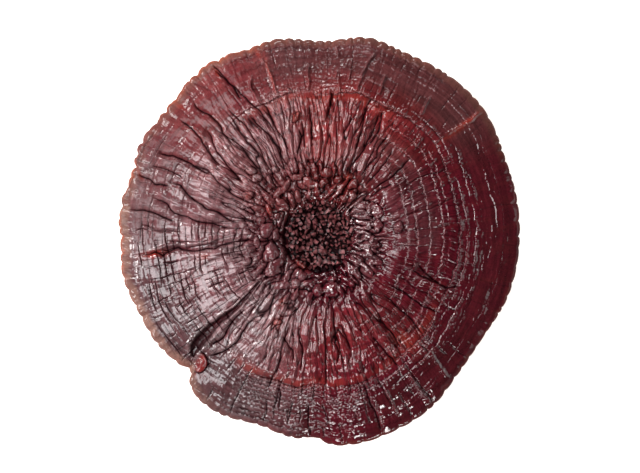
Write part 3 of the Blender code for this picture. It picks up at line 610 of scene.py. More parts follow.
def plainTop(share):  # the same curve as a height at each share of the way out
    corners, run = sectionOf(cap["topSection"] + cap["rimSection"][:4])
    places = np.linspace(0, run[-2], 2000)
    across, height = (curveThrough(list(zip(run, values)), places) for values in corners.T)
    return np.interp(share * cap["reach"], across, height)


def addObject(name, data):
    obj = bpy.data.objects.new(name, data)
    bpy.context.scene.collection.objects.link(obj)
    return obj


def plainObject(name, source):  # the modifiers' result as a plain mesh; the source is removed
    view = bpy.context.evaluated_depsgraph_get()
    mesh = bpy.data.meshes.new_from_object(source.evaluated_get(view))
    bpy.data.objects.remove(source)
    mesh.name = name
    return addObject(name, mesh)


def turnedObject(name, section, steps):  # turned about Z; the section starts and ends on the axis
    mesh = bpy.data.meshes.new(name + "Section")
    corners = [(x * mm, 0, z * mm) for x, z in section]
    mesh.from_pydata(corners, [(i, i + 1) for i in range(len(corners) - 1)], [])
    guide = addObject(name + "Section", mesh)
    screw = guide.modifiers.new("turn", "SCREW")
    screw.steps = screw.render_steps = steps
    screw.use_merge_vertices = True
    screw.merge_threshold = 1e-6
    return plainObject(name, guide)


def readValues(items, key, width, kind=np.float32):
    flat = np.empty(width * len(items), kind)
    items.foreach_get(key, flat)
    return flat.reshape(-1, width)


def pointsOf(obj):
    return readValues(obj.data.vertices, "co", 3).astype(float) / mm


def setPoints(obj, points):
    obj.data.vertices.foreach_set("co", (points * mm).astype(np.float32).ravel())
    obj.data.update()


def grownPlace(angle, share):  # how far out a share of the way lies, and how far the rim waves there
    radius = share * rimDistance(angle) - rimCuts(angle) * ramp(0.82, 1, share) * share
    cells, rise, seed = cap["rimWave"]
    return radius, rise * ramp(0.45, 1, share) * noise(angle, 0.5, cells, seed)


def shapeCap(points):  # rim and underside; its top lies a little under the finer meshes
    x, y, z = points.T
    angle, far = polar(x, y)
    share = far / cap["reach"]
    lowest = cap["rimSection"][-1][1]
    top = plainTop(np.clip(share, 0, 0.99))
    onTop = ramp(0.55, 0.97, (z - lowest) / (top - lowest)) * (z > cap["seatHeight"] + 0.5)
    radius, wave = grownPlace(angle, share)
    fade = 1 - ramp(0.96, 1, share)
    uncovered = ramp(cap["rimShare"] - 0.03, cap["rimShare"] - 0.01, share)
    relief = uncovered * topRelief(angle, share, radius)[0] - cap["hiddenDepth"] * (1 - uncovered)
    below = (1 - onTop) * ramp(30, 40, radius) * (1 - ramp(0.9, 0.97, share)) * (z < 16)
    lumps = 0.35 * noise(angle, radius / 16, 26, 66) + 0.12 * noise(angle, radius / 3, 12, 67)
    height = z + wave + onTop * (0.35 + 0.65 * fade) * relief + below * lumps
    return np.column_stack([radius * np.cos(angle), radius * np.sin(angle), height])


def shapeRound(points, inner, outer, above):  # one fine mesh of the top; x and y carry angle and place
    x, y, z = points.T
    angle, far = polar(x, y)
    rim = rimDistance(angle)
    outerShare = cap["rimShare"] + cap["overlap"] if outer is None else outer / rim
    share = inner / rim + np.clip(far / 100 - 1, 0, 1) * (outerShare - inner / rim)
    radius, wave = grownPlace(angle, share)
    height = plainTop(share) + wave + topRelief(angle, share, radius)[0]
    height = height + above - cap["tuck"] * ramp(-2.5, -0.2, share * rim - outerShare * rim)
    height = np.where(z > 0, height, plainTop(share) + wave - cap["backDepth"])
    return np.column_stack([radius * np.cos(angle), radius * np.sin(angle), height])


def smoothed(values, pairs, times):  # each value moved to the mean of its neighbours', some times
    count = len(values)
    links = np.bincount(pairs.ravel(), minlength=count)
    for _ in range(times):
        around = np.bincount(pairs[:, 0], values[pairs[:, 1]], count)
        around += np.bincount(pairs[:, 1], values[pairs[:, 0]], count)
        values = 0.5 * values + 0.5 * around / links
    return values


def storeMask(mesh, name, values):
    mask = mesh.attributes.new(name, "FLOAT", "POINT")
    mask.data.foreach_set("value", np.clip(values, 0, 1).astype(np.float32))


redSpots = [  # x, y, half length, half width, direction: bright red ridges, warts and flakes
    (85, 66, 16, 1.6, 36), (-30, 15.6, 2.6, 1.6, 100), (-10.8, -16.2, 4.2, 3.0, -25),
    (-82.2, -76.2, 9, 2.2, -41), (-68.6, -11.6, 3, 1.6, 5), (-99, -10.5, 7, 2.2, 8),
    (-42.6, 24, 2.0, 1.8, 0), (-14.4, 70.8, 3.4, 2.2, 75), (-25.2, -51, 3.0, 2.8, 60),
    (-22.2, -39, 2.6, 1.8, 60), (16.8, 35.4, 2.4, 2, 0), (-61.8, 97.8, 4.5, 0.9, 118),
    (-29.5, 96, 10, 0.9, 108), (-84, 78, 4, 1.2, -31), (-107.8, 37.3, 4.2, 1.2, -62),
    (-37.2, 109.8, 4, 1.4, -60),
]
redPatch = (51, -62, 9, 5, -45)


def capMasks(obj):  # soft masks, 0 to 1, that the crust's colours follow; some of them are painted shade and painted light
    x, y, z = pointsOf(obj).T
    angle, radius = polar(x, y)
    within, store = partial(sector, angle), partial(storeMask, obj.data)
    share = radius / rimDistance(angle)
    for _ in range(3):  # undo what the scallops took off
        share = (radius + rimCuts(angle) * ramp(0.82, 1, share) * share) / rimDistance(angle)
    up = readValues(obj.data.vertices, "normal", 3)[:, 2]
    pairs = readValues(obj.data.edges, "vertices", 2, np.int64)
    fine, broad = (z - smoothed(z, pairs, times) for times in (4, 24))
    zone = regions(angle, radius)
    main = roundCurve(ledges["main"], angle)
    lipCover = channelRelief(x, y)[2]
    curled = lipCover * lipRight(x, y)
    # painted shade: darker in the creases and cracks, between the knobs, and in hollows below the smoothed
    # surface
    dark = topRelief(angle, share, radius)[1] * (1 - ramp(0.96, 0.99, share))
    hollowShade = np.clip(-fine - 0.22 * broad, 0, 1)
    store("creaseShade", 1 - (1 - 0.9 * dark) * (1 - 0.8 * hollowShade))
    under = (1 - ramp(-0.45, -0.1, up)) * (z < 22) * ((z < 15) | (share > 0.9))
    top = 1 - under
    store("under", under)
    store("rim", ramp(0.95, 0.98, share) * top * within(80, 40, 25))

    steep = ramp(0.05, 0.3, 1 - up) * ramp(0.95, 0.985, share)
    leftEdge = 0.8 * (ramp(0.935, 0.955, share) * within(138, 88, 16))
    leftOuter = (0.62 + 0.2 * ramp(100, 108, radius)) * (ramp(88, 98, radius) * within(142, 32, 14))
    bed = 1 - ramp(*middle["mattEdge"], bedDistance(x, y, angle)[1])
    outerTop = 0.63 * zone["matte"] * (1 - bell(share - main - 0.014, 0.014))
    ribbedTop = (0.32 * within(90, 34, 14) + 0.2 * within(5, 45, 15)) * ramp(42, 50, radius) * (
        1 - zone["outer"])
    store("matt", largest(under, steep, leftEdge, leftOuter, 0.5 * lipCover, bed, outerTop, ribbedTop))
    store("crackle", zone["crackle"] * top)
    ribbed = (0.15 + 0.85 * np.maximum(zone["strong"], zone["flow"])) * (1 - 0.7 * zone["outer"])
    store("ribbed", ribbed * ramp(30, 46, radius) * (1 - 0.8 * zone["crackle"]) * top)

    # part spore powder and part painted sheen: pale mauve on the left, in the ring, in the fans beside the bed
    # and on the backs at the right, more on raised parts than in hollows
    upper = 0.8 * within(150, 36, 24) * (1 - 0.7 * within(130, 24, 14) * ramp(78, 98, radius))
    inward = 0.4 * ramp(20, 24, radius) + 0.6 * ramp(0.3, 0.42, share)
    fans = within(0, 42, 15) * band(19, 23, 32, 42, radius)
    backs = within(35, 35, 15) * band(40, 46, 66, 76, radius)
    bloomAndSheen = largest(np.maximum(within(203, 38, 30), upper) * inward, 0.55 * fans, 0.3 * backs)
    store("bloomAndSheen", bloomAndSheen * top * (1 - curled) * ramp(-1.1, 0.5, broad))
    ragged = share + 0.01 * noise(angle, radius / 4, 150, 91)
    pale = 0.35 * within(150, 25, 15) + within(202, 24, 18)
    store("paleRim", ramp(0.938, 0.968, ragged) * top * (1 - 0.9 * curled) * pale)

    # painted light and shade: the middle band lighter and the right darker; the ring lighter on the left and
    # darker elsewhere; the outer left and lower left darker; the upper left lighter
    paintedLight = (1 - 1.2 * within(0, 42, 30)) * band(38, 48, 80, 92, radius)
    paintedLight -= band(20, 24, 36, 46, radius) * (0.2 - 0.7 * within(180, 65, 25))
    paintedLight -= 0.25 * within(190, 50, 20) * ramp(84, 94, radius)
    paintedLight -= 0.45 * within(217, 24, 15) * ramp(58, 70, radius)
    paintedLight += 0.35 * within(150, 34, 15) * band(38, 48, 62, 72, radius)
    store("paintedLight", paintedLight * 0.5 + 0.4 * top)
    store("edge", ramp(0.975, 0.992, ragged) * top * (0.25 + 0.75 * within(150, 35, 20)))
    redRing = bell(share - main + 0.024, 0.022) * np.maximum(
        0.55 * within(92, 24, 14), 0.55 * within(282, 40, 15))
    spots = [spot(x, y, *oval) for oval in redSpots]
    store("red", largest(redRing, 0.8 * spot(x, y, *redPatch), 0.55 * curled, *spots))
    upperRim = 0.8 * within(140, 25, 20) * ramp(92, 104, radius)
    store("warm", largest(within(98, 42, 36), upperRim,
                          0.5 * within(275, 35, 20) * band(40, 50, 76, 88, radius)))
    store("brown", within(70, 28, 20) * ramp(88, 104, radius) * top)
    store("dark", (within(345, 45, 30) + within(252, 14, 12)) * ramp(0.74, 0.84, share))


def crusted(obj, name, triangles):  # thinned to so many triangles, smooth, and with its masks
    present = sum(len(face.vertices) - 2 for face in obj.data.polygons)
    thin = obj.modifiers.new("thin", "DECIMATE")
    thin.ratio = min(1, triangles / present)
    obj = plainObject(name, obj)
    obj.data.shade_smooth()
    capMasks(obj)
    return obj


def makeCap():
    obj = turnedObject("capCrust", wholeSection(), cap["turnedSteps"])
    setPoints(obj, shapeCap(pointsOf(obj)))
    return crusted(obj, "capCrust", cap["triangles"])


def makeRound(name):
    (inner, outer), rings, steps, triangles, above = rounds[name]
    top = [(100 * (1 + t), 1) for t in np.linspace(0, 1, rings)]
    if inner == 0:
        section = [(0, 1)] + top[1:] + [(200, -1), (0, -1)]
    else:
        section = top + [(200, -1), (100, -1), (100, 1)]
    obj = turnedObject(name, section, steps)
    setPoints(obj, shapeRound(pointsOf(obj), inner, outer, above))
    return crusted(obj, name, triangles)


# Nodes

def addNode(tree, kind, inputs=(), **settings):  # inputs: pairs of socket and value or output
    node = tree.nodes.new(kind)
    for key, value in settings.items():
        setattr(node, key, value)
    for socket, value in inputs:
        setSocket(tree, node.inputs[socket], value)
    return node


def setSocket(tree, socket, value):
    if isinstance(value, Value):
        tree.links.new(value.socket, socket)
    else:
        socket.default_value = value


class Value:  # one output of a node, which formulas can use
    def __init__(self, tree, kind, inputs=(), output=0, **settings):
        self.tree = tree
        self.socket = addNode(tree, kind, inputs, **settings).outputs[output]

    def maths(self, operation, other=0, clamp=False):
        return Value(self.tree, "ShaderNodeMath", [(0, self), (1, other)],
                     operation=operation, use_clamp=clamp)

    def vector(self, operation, *inputs, output=0):
        return Value(self.tree, "ShaderNodeVectorMath", [(0, self), *inputs], output, operation=operation)

    def ranged(self, low, high, toLow, toHigh):
        return Value(self.tree, "ShaderNodeMapRange",
                     [(0, self), (1, low), (2, high), (3, toLow), (4, toHigh)])

    def part(self, index):
        return Value(self.tree, "ShaderNodeSeparateXYZ", [(0, self)], index)

    def most(self, other):
        return self.maths("MAXIMUM", other)

    def rest(self):  # what it leaves of 1
        return Value(self.tree, "ShaderNodeMath", [(0, 1.0), (1, self)], operation="SUBTRACT")

    def scattered(self, amount):  # a colour from noise as an offset to all sides
        return self.vector("SUBTRACT", (1, (0.5, 0.5, 0.5))).vector("SCALE", ("Scale", amount))

    def __add__(self, other):
        return self.maths("ADD", other)

    def __sub__(self, other):
        return self.maths("SUBTRACT", other)

    def __mul__(self, other):
        return self.maths("MULTIPLY", other)

    def __truediv__(self, other):
        return self.maths("DIVIDE", other)

    def __abs__(self):
        return self.maths("ABSOLUTE")


class Sheet:  # a material's nodes
    def __init__(self, name):
        self.material = bpy.data.materials.new(name)
        self.material.use_nodes = True
        self.tree = self.material.node_tree

    def __call__(self, kind, inputs=(), output=0, **settings):
        return Value(self.tree, "ShaderNode" + kind, inputs, output, **settings)

    def place(self):
        return self("TexCoord", output="Object")

    def mask(self, name):
        return self("Attribute", output="Fac", attribute_name=name)

    def mix(self, factor, a, b, blend="MIX"):
        a, b = (colour if isinstance(colour, Value) else (*colour, 1) for colour in (a, b))
        return self("Mix", [(0, factor), (6, a), (7, b)], 2, data_type="RGBA", blend_type=blend)

    def noise(self, vector, scale, detail=3, roughness=0.55):
        return self("TexNoise", [("Vector", vector), ("Scale", scale), ("Detail", detail),
                                 ("Roughness", roughness)], "Fac")

    def aroundCap(self, spread, stretch):  # coordinates in which a pattern runs outwards without a seam
        flat = self.place().vector("MULTIPLY", (1, (1, 1, 0)))
        wide = flat.vector("NORMALIZE").vector("SCALE", ("Scale", spread))
        out = flat.vector("LENGTH", output="Value") * stretch
        return wide.vector("ADD", (1, self("CombineXYZ", [(2, out)])))

    def finished(self, looks):  # what each socket of the shader gets
        for socket, value in looks.items():
            setSocket(self.tree, self.tree.nodes["Principled BSDF"].inputs[socket], value)
        return self.material


# The crust's material

crustLook = {
    "burgundy": (0.082, 0.004, 0.0105),
    "redBrown": (0.138, 0.0155, 0.0155),
    # painted shade in hollows, creases and cracks, and the crackle's dark speckle
    "black": (0.004, 0.0008, 0.0014),
    "wine": (0.03, 0.006, 0.007),
    "mauve": (0.155, 0.086, 0.09),
    "brown": (0.075, 0.025, 0.026),
    "brightRed": (0.27, 0.028, 0.018),
    "tan": (0.23, 0.125, 0.1),
    "tanDark": (0.12, 0.055, 0.045),
    "orange": (0.26, 0.06, 0.03),
    "redTan": (0.15, 0.06, 0.045),
    "pores": (0.62, 0.47, 0.30),
    "poresBrown": (0.40, 0.24, 0.12),
    "coatRoughness": 0.08,
    "baseGloss": 0.02,
    # scales of patterns, per metre; those that run outwards have one for round the cap and one for outwards
    "blotches": 45,
    "speckles": 900,
    "gloss": 260,
    "grit": 1500,
    "holes": 2600,
    "streaks": (26, 60),
    "growth": (3, 330),
    "ribs": (60, 140),
    "rings": (8, 1100),
    "creases": (26, 55, 0.03),  # and their width
    "hairlines": (60, 130, 0.04),
    "cracks": (6.1, 3.4, 0.5),  # spacing round the cap and outwards, and width, in millimetres
    "fineCracks": (2.6, 1.7, 0.3),
    # rise in millimetres of ribs, rings, grit, speckle, lines and pores; the lacquer evens out the finest
    "rises": {"Normal": (0.45, 0.07, 0.05, -0.05, -0.12, 0.2),
              "Coat Normal": (0.1, 0.015, 0.005, 0, -0.05, 0.05)},
}


def flatPlace(sheet):  # millimetres round the cap at mid radius, and outwards; the seam is on the right
    midRadius = 85
    place = sheet.place()
    angle = (place.part(1) * -1).maths("ARCTAN2", place.part(0) * -1)
    far = place.vector("MULTIPLY", (1, (1, 1, 0))).vector("LENGTH", output="Value")
    at = sheet("CombineXYZ", [(0, angle * midRadius), (1, far * 1000)])
    for scale, stray in ((60, 4.0), (500, 0.8)):
        noise = sheet("TexNoise", [("Vector", place), ("Scale", scale), ("Detail", 1.0)], "Color")
        at = at.vector("ADD", (1, noise.scattered(stray)))
    return at


def gridCracks(sheet, at, across, out, gap):  # narrow lines round the cap and outwards, in millimetres
    lines = []
    for part, spacing, arcs in ((at.part(1), out, (5, 380)), (at.part(0), across, (34, 70))):
        off = abs((part / spacing).maths("FRACT") - 0.5)
        present = sheet.noise(sheet.aroundCap(*arcs), 1, 1).ranged(0.46, 0.54, 0, 1)
        lines.append(off.ranged(0, gap / spacing, 1, 0) * present)
    return lines[0].most(lines[1])


def creaseLines(sheet, spread, stretch, width):  # narrow wavy lines that run outwards
    wave = sheet.noise(sheet.aroundCap(spread, stretch), 1, 3, 0.5)
    return abs(wave - 0.5).ranged(0, width, 1, 0)


def crustMaterial(name, coatIor, thinning):  # thinning: how much of the lacquer is left 50 mm out
    look = crustLook
    sheet = Sheet(name)
    mask, mix, noise = sheet.mask, sheet.mix, sheet.noise
    place = sheet.place()
    blotch = noise(place, look["blotches"], 4)
    streak = noise(sheet.aroundCap(*look["streaks"]), 1, 4)
    growth = noise(sheet.aroundCap(*look["growth"]), 1, 3)
    speckle = noise(place, look["speckles"], 2, 0.6)
    under, crackle, hollowShade = mask("under"), mask("crackle"), mask("creaseShade")
    top = under.rest()
    at = flatPlace(sheet)
    cracked = gridCracks(sheet, at, *look["cracks"]).most(gridCracks(sheet, at, *look["fineCracks"]) * 0.5)
    lined = creaseLines(sheet, *look["creases"]).most(creaseLines(sheet, *look["hairlines"]) * 0.5)
    lines = (cracked * crackle).most(lined * mask("ribbed"))

    warmth = mask("warm") * blotch.ranged(0.3, 0.7, 0.4, 1)
    warmth = warmth.maths("ADD", streak.ranged(0.45, 0.75, 0, 0.45), True)
    colour = mix(warmth, look["burgundy"], look["redBrown"])
    colour = mix(mask("dark") * 0.45, colour, look["wine"])
    colour = mix(mask("brown") * 0.8, colour, look["brown"])
    # spore powder and painted sheen in pale mauve
    colour = mix(mask("bloomAndSheen") * blotch.ranged(0.3, 0.6, 0.45, 1), colour, look["mauve"])
    # growth rings as a real change of tone, times the painted light and shade mask
    shade = growth.ranged(0.35, 0.65, 0.75, 1.25) * mask("paintedLight").ranged(0, 0.9, 0.68, 1.4)
    colour = mix(1.0, colour, sheet("CombineColor", [(i, shade) for i in range(3)]), "MULTIPLY")
    colour = mix(mask("red") * streak.ranged(0.3, 0.6, 0.35, 0.9), colour, look["brightRed"])
    colour = mix(mask("rim") * 0.5, colour, look["redTan"])
    colour = mix(mask("paleRim") * 0.85, colour,
                 mix(streak.ranged(0.35, 0.65, 0, 1), look["tan"], look["tanDark"]))
    colour = mix(mask("edge") * blotch.ranged(0.4, 0.6, 0.1, 0.7), colour, look["orange"])
    spotted = speckle.ranged(0.5, 0.66, 0, 0.75) * top
    # painted shade in hollows, creases and cracks, with the crackle's dark speckle, mixed towards black
    darkness = hollowShade.ranged(0.08, 0.85, 0, 0.97).most(lines * 0.95)
    darkness = darkness.most(spotted * crackle.ranged(0, 1, 0.35, 0.5))
    colour = mix(darkness, colour, look["black"])
    pores = mix(blotch.ranged(0.3, 0.7, 0, 0.7), look["pores"], look["poresBrown"])
    colour = mix(under, colour, mix(growth.ranged(0.42, 0.68, 0, 0.45), pores, look["poresBrown"]))

    far = place.vector("LENGTH", output="Value")
    rough = noise(place, look["gloss"], 3).ranged(0.3, 0.7, 0.4, 0.55).maths("ADD", under * 0.4, True)
    clear = hollowShade.ranged(0.25, 0.75, 1, 0.03) * lines.ranged(0, 1, 1, 0.2)
    coat = mask("matt").rest() * clear * far.ranged(0.038, 0.05, 1, thinning)
    looks = {"Base Color": colour, "Roughness": rough, "Coat Weight": coat,
             "Coat Roughness": look["coatRoughness"], "Coat IOR": coatIor,
             "Specular IOR Level": look["baseGloss"]}

    ribs = abs(noise(sheet.aroundCap(*look["ribs"]), 1, 3) - 0.5) * far.ranged(0.045, 0.065, 0.15, 1)
    rings = noise(sheet.aroundCap(*look["rings"]), 1, 2)
    grit = noise(place, look["grit"], 2)
    holes = sheet("TexVoronoi", [("Vector", place), ("Scale", look["holes"])], "Distance")
    for socket, rises in look["rises"].items():
        height = 0.0
        for pattern, rise in zip((ribs, rings, grit, speckle, lines), rises):
            height = pattern * rise + height
        height = height * top + under * (holes * rises[5])
        looks[socket] = sheet("Bump", [("Height", height), ("Distance", mm), ("Strength", 1.0)])
    return sheet.finished(looks)


# Grains in the sunken middle

grains = {
    "count": 180,
    "field": 20.0,
    "middle": (-0.5, 0.6),
    "size": (0.8, 1.9),
    "stretch": ((0.9, 0.7, 0.6), (1.5, 1.1, 0.9)),
    "sink": (-0.4, 1.2),
    "seed": 4,
    "roughness": 2.0 * mm,
    "detail": 480.0,
    "red": (0.08, 0.013, 0.016),
    "pink": (0.29, 0.088, 0.092),
    "dark": (0.02, 0.004, 0.005),
    # painted shade on the grains' sides, which reads as dark spaces between them
    "gap": (0.002, 0.0, 0.0),
    "patches": 350,  # scale of the colour's pattern
    "grit": (1600, 0.12 * mm),  # scale and rise
    "gloss": {"Roughness": 0.36, "Specular IOR Level": 0.25},
}


def surfaceHeight(obj, places):  # the height of the object's top under each x, y
    solid = obj.evaluated_get(bpy.context.evaluated_depsgraph_get())
    heights = []
    for x, y in places:
        hit, where, _, _ = solid.ray_cast((x * mm, y * mm, 1), (0, 0, -1))
        heights.append(where.z / mm if hit else 0)
    return np.array(heights)


def grainTree(material):  # a dented block on every point, stretched by its extent and turned by its turn
    tree = bpy.data.node_groups.new("packedGrains", "GeometryNodeTree")
    sockets = {}
    for key, direction, kind in (("Geometry", "INPUT", "Geometry"), ("Roughness", "INPUT", "Float"),
                                 ("Detail", "INPUT", "Float"), ("Geometry", "OUTPUT", "Geometry")):
        socket = tree.interface.new_socket(key, in_out=direction, socket_type="NodeSocket" + kind)
        sockets[key] = socket.identifier

    def node(kind, inputs=(), output=0, **settings):
        return Value(tree, kind, inputs, output, **settings)

    given, roughness, detail = (node("NodeGroupInput", output=key)
                                for key in ("Geometry", "Roughness", "Detail"))
    points = node("GeometryNodeMeshToPoints", [("Mesh", given)])
    block = node("GeometryNodeMeshCube",
                 [("Size", (1.7, 1.7, 1.7))] + [("Vertices " + axis, 3) for axis in "XYZ"])
    turn, extent = (node("GeometryNodeInputNamedAttribute", [("Name", key)], data_type="FLOAT_VECTOR")
                    for key in ("turn", "extent"))
    placed = node("GeometryNodeInstanceOnPoints",
                  [("Points", points), ("Instance", block), ("Rotation", turn), ("Scale", extent)])
    real = node("GeometryNodeRealizeInstances", [("Geometry", placed)])
    noise = node("ShaderNodeTexNoise", [("Vector", node("GeometryNodeInputPosition")), ("Scale", detail),
                                        ("Detail", 2.0)], "Color")
    dented = node("GeometryNodeSetPosition", [("Geometry", real), ("Offset", noise.scattered(roughness))])
    addNode(tree, "NodeGroupOutput", [(0, node("GeometryNodeSetMaterial", [("Geometry", dented),
                                                                          ("Material", material)]))])
    return tree, sockets


def makeGrains(middleObject, material):
    random = np.random.default_rng(grains["seed"])
    k = np.arange(grains["count"])
    far = grains["field"] * np.sqrt((k + 0.5) / grains["count"])
    angle = k * fullTurn * (3 - math.sqrt(5)) / 2 + random.normal(0, 0.6, len(k)) / np.maximum(far, 1)
    x, y = grains["middle"][0] + far * np.cos(angle), grains["middle"][1] + far * np.sin(angle)
    z = surfaceHeight(middleObject, zip(x, y)) + random.uniform(*grains["sink"], len(k))
    size = random.uniform(*grains["size"], (len(k), 1))
    extents = size * random.uniform(*grains["stretch"], (len(k), 3))
    turns = random.uniform(0, fullTurn, (len(k), 3))
    mesh = bpy.data.meshes.new("capGrainsPoints")
    mesh.from_pydata(list(np.column_stack([x, y, z]) * mm), [], [])
    for key, values in (("extent", extents * mm), ("turn", turns)):
        mesh.attributes.new(key, "FLOAT_VECTOR", "POINT").data.foreach_set(
            "vector", values.astype(np.float32).ravel())
    storeMask(mesh, "tone", random.uniform(0, 1, len(k)))
    guide = addObject("capGrainsPoints", mesh)
    tree, sockets = grainTree(material)
    nodes = guide.modifiers.new("grains", "NODES")
    nodes.node_group = tree
    nodes[sockets["Roughness"]] = grains["roughness"]
    nodes[sockets["Detail"]] = grains["detail"]
    made = plainObject("capGrains", guide)
    # how far each point faces sideways; the painted shade follows it
    storeMask(made.data, "side", 1 - readValues(made.data.vertices, "normal", 3)[:, 2])
    return made


def grainMaterial():
    sheet = Sheet("capGrains")
    place = sheet.place()
    patchy = sheet.noise(place, grains["patches"], 3).ranged(0.35, 0.65, 0, 1)
    colour = sheet.mix(patchy, grains["red"], grains["pink"])
    colour = sheet.mix(sheet.mask("tone") * 0.5, colour, grains["dark"])
    # painted shade on the sides that face away from straight up
    colour = sheet.mix(sheet.mask("side").ranged(0.12, 0.6, 0, 1), colour, grains["gap"])
    scale, rise = grains["grit"]
    bump = sheet("Bump", [("Height", sheet.noise(place, scale, 2)), ("Distance", rise)])
    return sheet.finished({"Base Color": colour, "Normal": bump, **grains["gloss"]})


# Stem

stem = {
    "radius": 21.0,
    "height": 14.6,  # it runs a little into the cap
    "section": [(0, 1), (1.24, 1), (1.17, 0.93), (1.07, 0.84), (0.98, 0.6), (0.97, 0.38), (1.02, 0.16),
                (1.05, 0.02), (1.03, 0), (0, 0)],
    "spacing": 0.8,
    "steps": 240,
    "swell": (9, 22.0, 1.4, 55),  # cells round, length, rise, seed
    "crust": ((0.03, 0.008, 0.006), (0.11, 0.03, 0.018)),
    "flesh": ((0.16, 0.085, 0.04), (0.42, 0.27, 0.14)),
    "wrinkles": (70, 16, 0.7, 61),
    "blotches": 120,  # scales of the patterns
    "fibres": 900,
    "fibreRise": 0.4 * mm,
    "roughness": (0.32, 0.85),  # of the crust and of the cut
}


def makeStem(material):
    radius, height = stem["radius"], stem["height"]
    corners = np.array([(a * radius, b * height) for a, b in stem["section"]])
    run = runAlong(corners)
    places = np.unique(np.concatenate([np.arange(0, run[-1], stem["spacing"]), run]))
    section = np.column_stack([np.interp(places, run, corners[:, 0]), np.interp(places, run, corners[:, 1])])
    section[[0, -1], 0] = 0
    obj = turnedObject("stemStub", section, stem["steps"])
    x, y, z = pointsOf(obj).T
    angle, far = np.arctan2(y, x) % fullTurn, np.hypot(x, y)
    cells, length, rise, seed = stem["swell"]
    swell = rise * noise(angle, 0.5 + z / length, cells, seed) * far / radius
    side = ramp(0.9, 1, far / radius) * ramp(0, 0.8, z)
    cells, length, rise, seed = stem["wrinkles"]
    wrinkle = rise * side * (np.abs(noise(angle, z / length, cells, seed)) ** 0.8 - 0.4)
    grown = 1 + (swell + wrinkle) / radius
    setPoints(obj, np.column_stack([x * grown, y * grown, z]))
    obj.data.materials.append(material)
    obj.data.shade_smooth()
    return obj


def stemMaterial():
    sheet = Sheet("stemCrust")
    place = sheet.place()
    cut = place.part(2).ranged(0.1 * mm, 0.4 * mm, 1, 0)
    fibres = sheet.noise(place, stem["fibres"], 4, 0.7)
    crust = sheet.mix(sheet.noise(place, stem["blotches"], 3), *stem["crust"])
    colour = sheet.mix(cut, crust, sheet.mix(fibres, *stem["flesh"]))
    bump = sheet("Bump", [("Height", fibres), ("Distance", stem["fibreRise"])])
    return sheet.finished({"Base Color": colour, "Roughness": cut.ranged(0, 1, *stem["roughness"]),
                           "Normal": bump})


# Studio

studio = {
    "frame": (640, 473),
    "mmPerPixel": 0.6,
    "cameraHeight": 1500.0,  # above the rim
    "rimHeight": 14.0,
    "floorHalf": 6,
    "floor": {"Base Color": (0.94, 0.94, 0.94, 1), "Emission Color": (1, 1, 1, 1), "Emission Strength": 0.75,
              "Roughness": 0.9, "Specular IOR Level": 0.1},
    "sky": (0.1, 0.3, 0.6, 0.03),  # brightness falls from the horizon to straight above
    "lights": [  # name, azimuth, tilt from straight above, distance, size, radiance, colour
        ("leftBox", 177, 27, 1.3, (0.85, 0.85), 7.5, (0.97, 0.98, 1.0)),
        ("keyBox", 150, 58, 1.5, (0.32, 0.32), 42.0, (1.0, 0.99, 0.97)),
        ("topBox", 88, 54, 1.6, (0.22, 0.16), 18.0, (1.0, 0.98, 0.97)),
        ("frontBox", -96, 54, 1.6, (0.2, 0.14), 30.0, (1.0, 0.98, 0.97)),
        ("rightBox", -5, 74, 1.8, (1.2, 0.5), 1.4, (1.0, 0.98, 0.97)),
        ("lowLeftBox", 190, 70, 1.6, (0.4, 0.28), 34.0, (1.0, 0.99, 0.98)),
        ("lowTopBox", 95, 68, 1.6, (0.28, 0.2), 38.0, (1.0, 0.99, 0.98)),
        ("lowFrontBox", -70, 68, 1.6, (0.28, 0.2), 27.0, (1.0, 0.99, 0.98)),
    ],
}


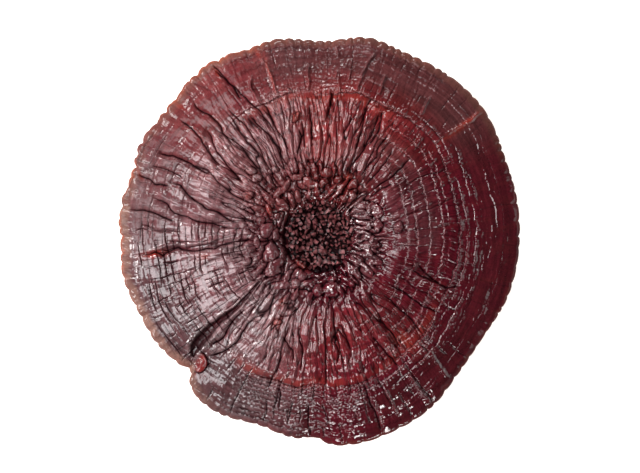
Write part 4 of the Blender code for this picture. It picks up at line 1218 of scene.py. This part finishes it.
def makeCamera():
    lens = bpy.data.cameras.new("camera")
    lens.sensor_width = 36
    width = studio["frame"][0] * studio["mmPerPixel"]
    lens.lens = lens.sensor_width * studio["cameraHeight"] / width
    camera = addObject("camera", lens)
    camera.location = (0, 0, (studio["cameraHeight"] + studio["rimHeight"]) * mm)
    bpy.context.scene.camera = camera


def softbox(name, azimuth, tilt, distance, size, radiance, colour):
    light = bpy.data.lights.new(name, "AREA")
    light.shape = "RECTANGLE"
    light.size, light.size_y = size
    light.energy = radiance * math.pi * size[0] * size[1]
    light.color = colour
    lamp = addObject(name, light)
    a, t = math.radians(azimuth), math.radians(tilt)
    out = Vector((math.sin(t) * math.cos(a), math.sin(t) * math.sin(a), math.cos(t)))
    lamp.location = out * distance
    lamp.rotation_euler = out.to_track_quat("Z", "Y").to_euler()


def makeStudio():
    mesh = bpy.data.meshes.new("floor")
    half = studio["floorHalf"]
    mesh.from_pydata([(-half, -half, 0), (half, -half, 0), (half, half, 0), (-half, half, 0)], [],
                     [(0, 1, 2, 3)])
    floor = addObject("floor", mesh)
    mesh.materials.append(Sheet("floor").finished(studio["floor"]))
    for light in studio["lights"]:
        softbox(*light)
    world = bpy.data.worlds.new("studio")
    world.use_nodes = True
    sky = world.node_tree
    up = Value(sky, "ShaderNodeTexCoord", output="Generated").part(2)
    background = sky.nodes["Background"].inputs
    setSocket(sky, background["Color"], (1, 1, 1, 1))
    setSocket(sky, background["Strength"], up.ranged(*studio["sky"]))
    bpy.context.scene.world = world
    bpy.context.scene.view_settings.view_transform = "Standard"
    makeCamera()


# Making

makeStudio()
print("studio set")
crust = crustMaterial("capCrust", 1.6, 1.0)
glossyCrust = crustMaterial("middleCrust", 2.05, 0.46)
capObject = makeCap()
capObject.data.materials.append(crust)
print("rim and underside shaped:", len(capObject.data.polygons), "triangles")
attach(capObject, "root")
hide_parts("cap")

for name in rounds:
    roundObject = makeRound(name)
    roundObject.data.materials.append(glossyCrust if name == "capMiddle" else crust)
    print(name, "shaped:", len(roundObject.data.polygons), "triangles")
    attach(roundObject, "root")

grainObject = makeGrains(bpy.data.objects["capMiddle"], grainMaterial())
print("grains packed:", len(grainObject.data.polygons), "faces")
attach(grainObject, "root")

stemObject = makeStem(stemMaterial())
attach(stemObject, "root")
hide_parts("stem")
print("stem turned")
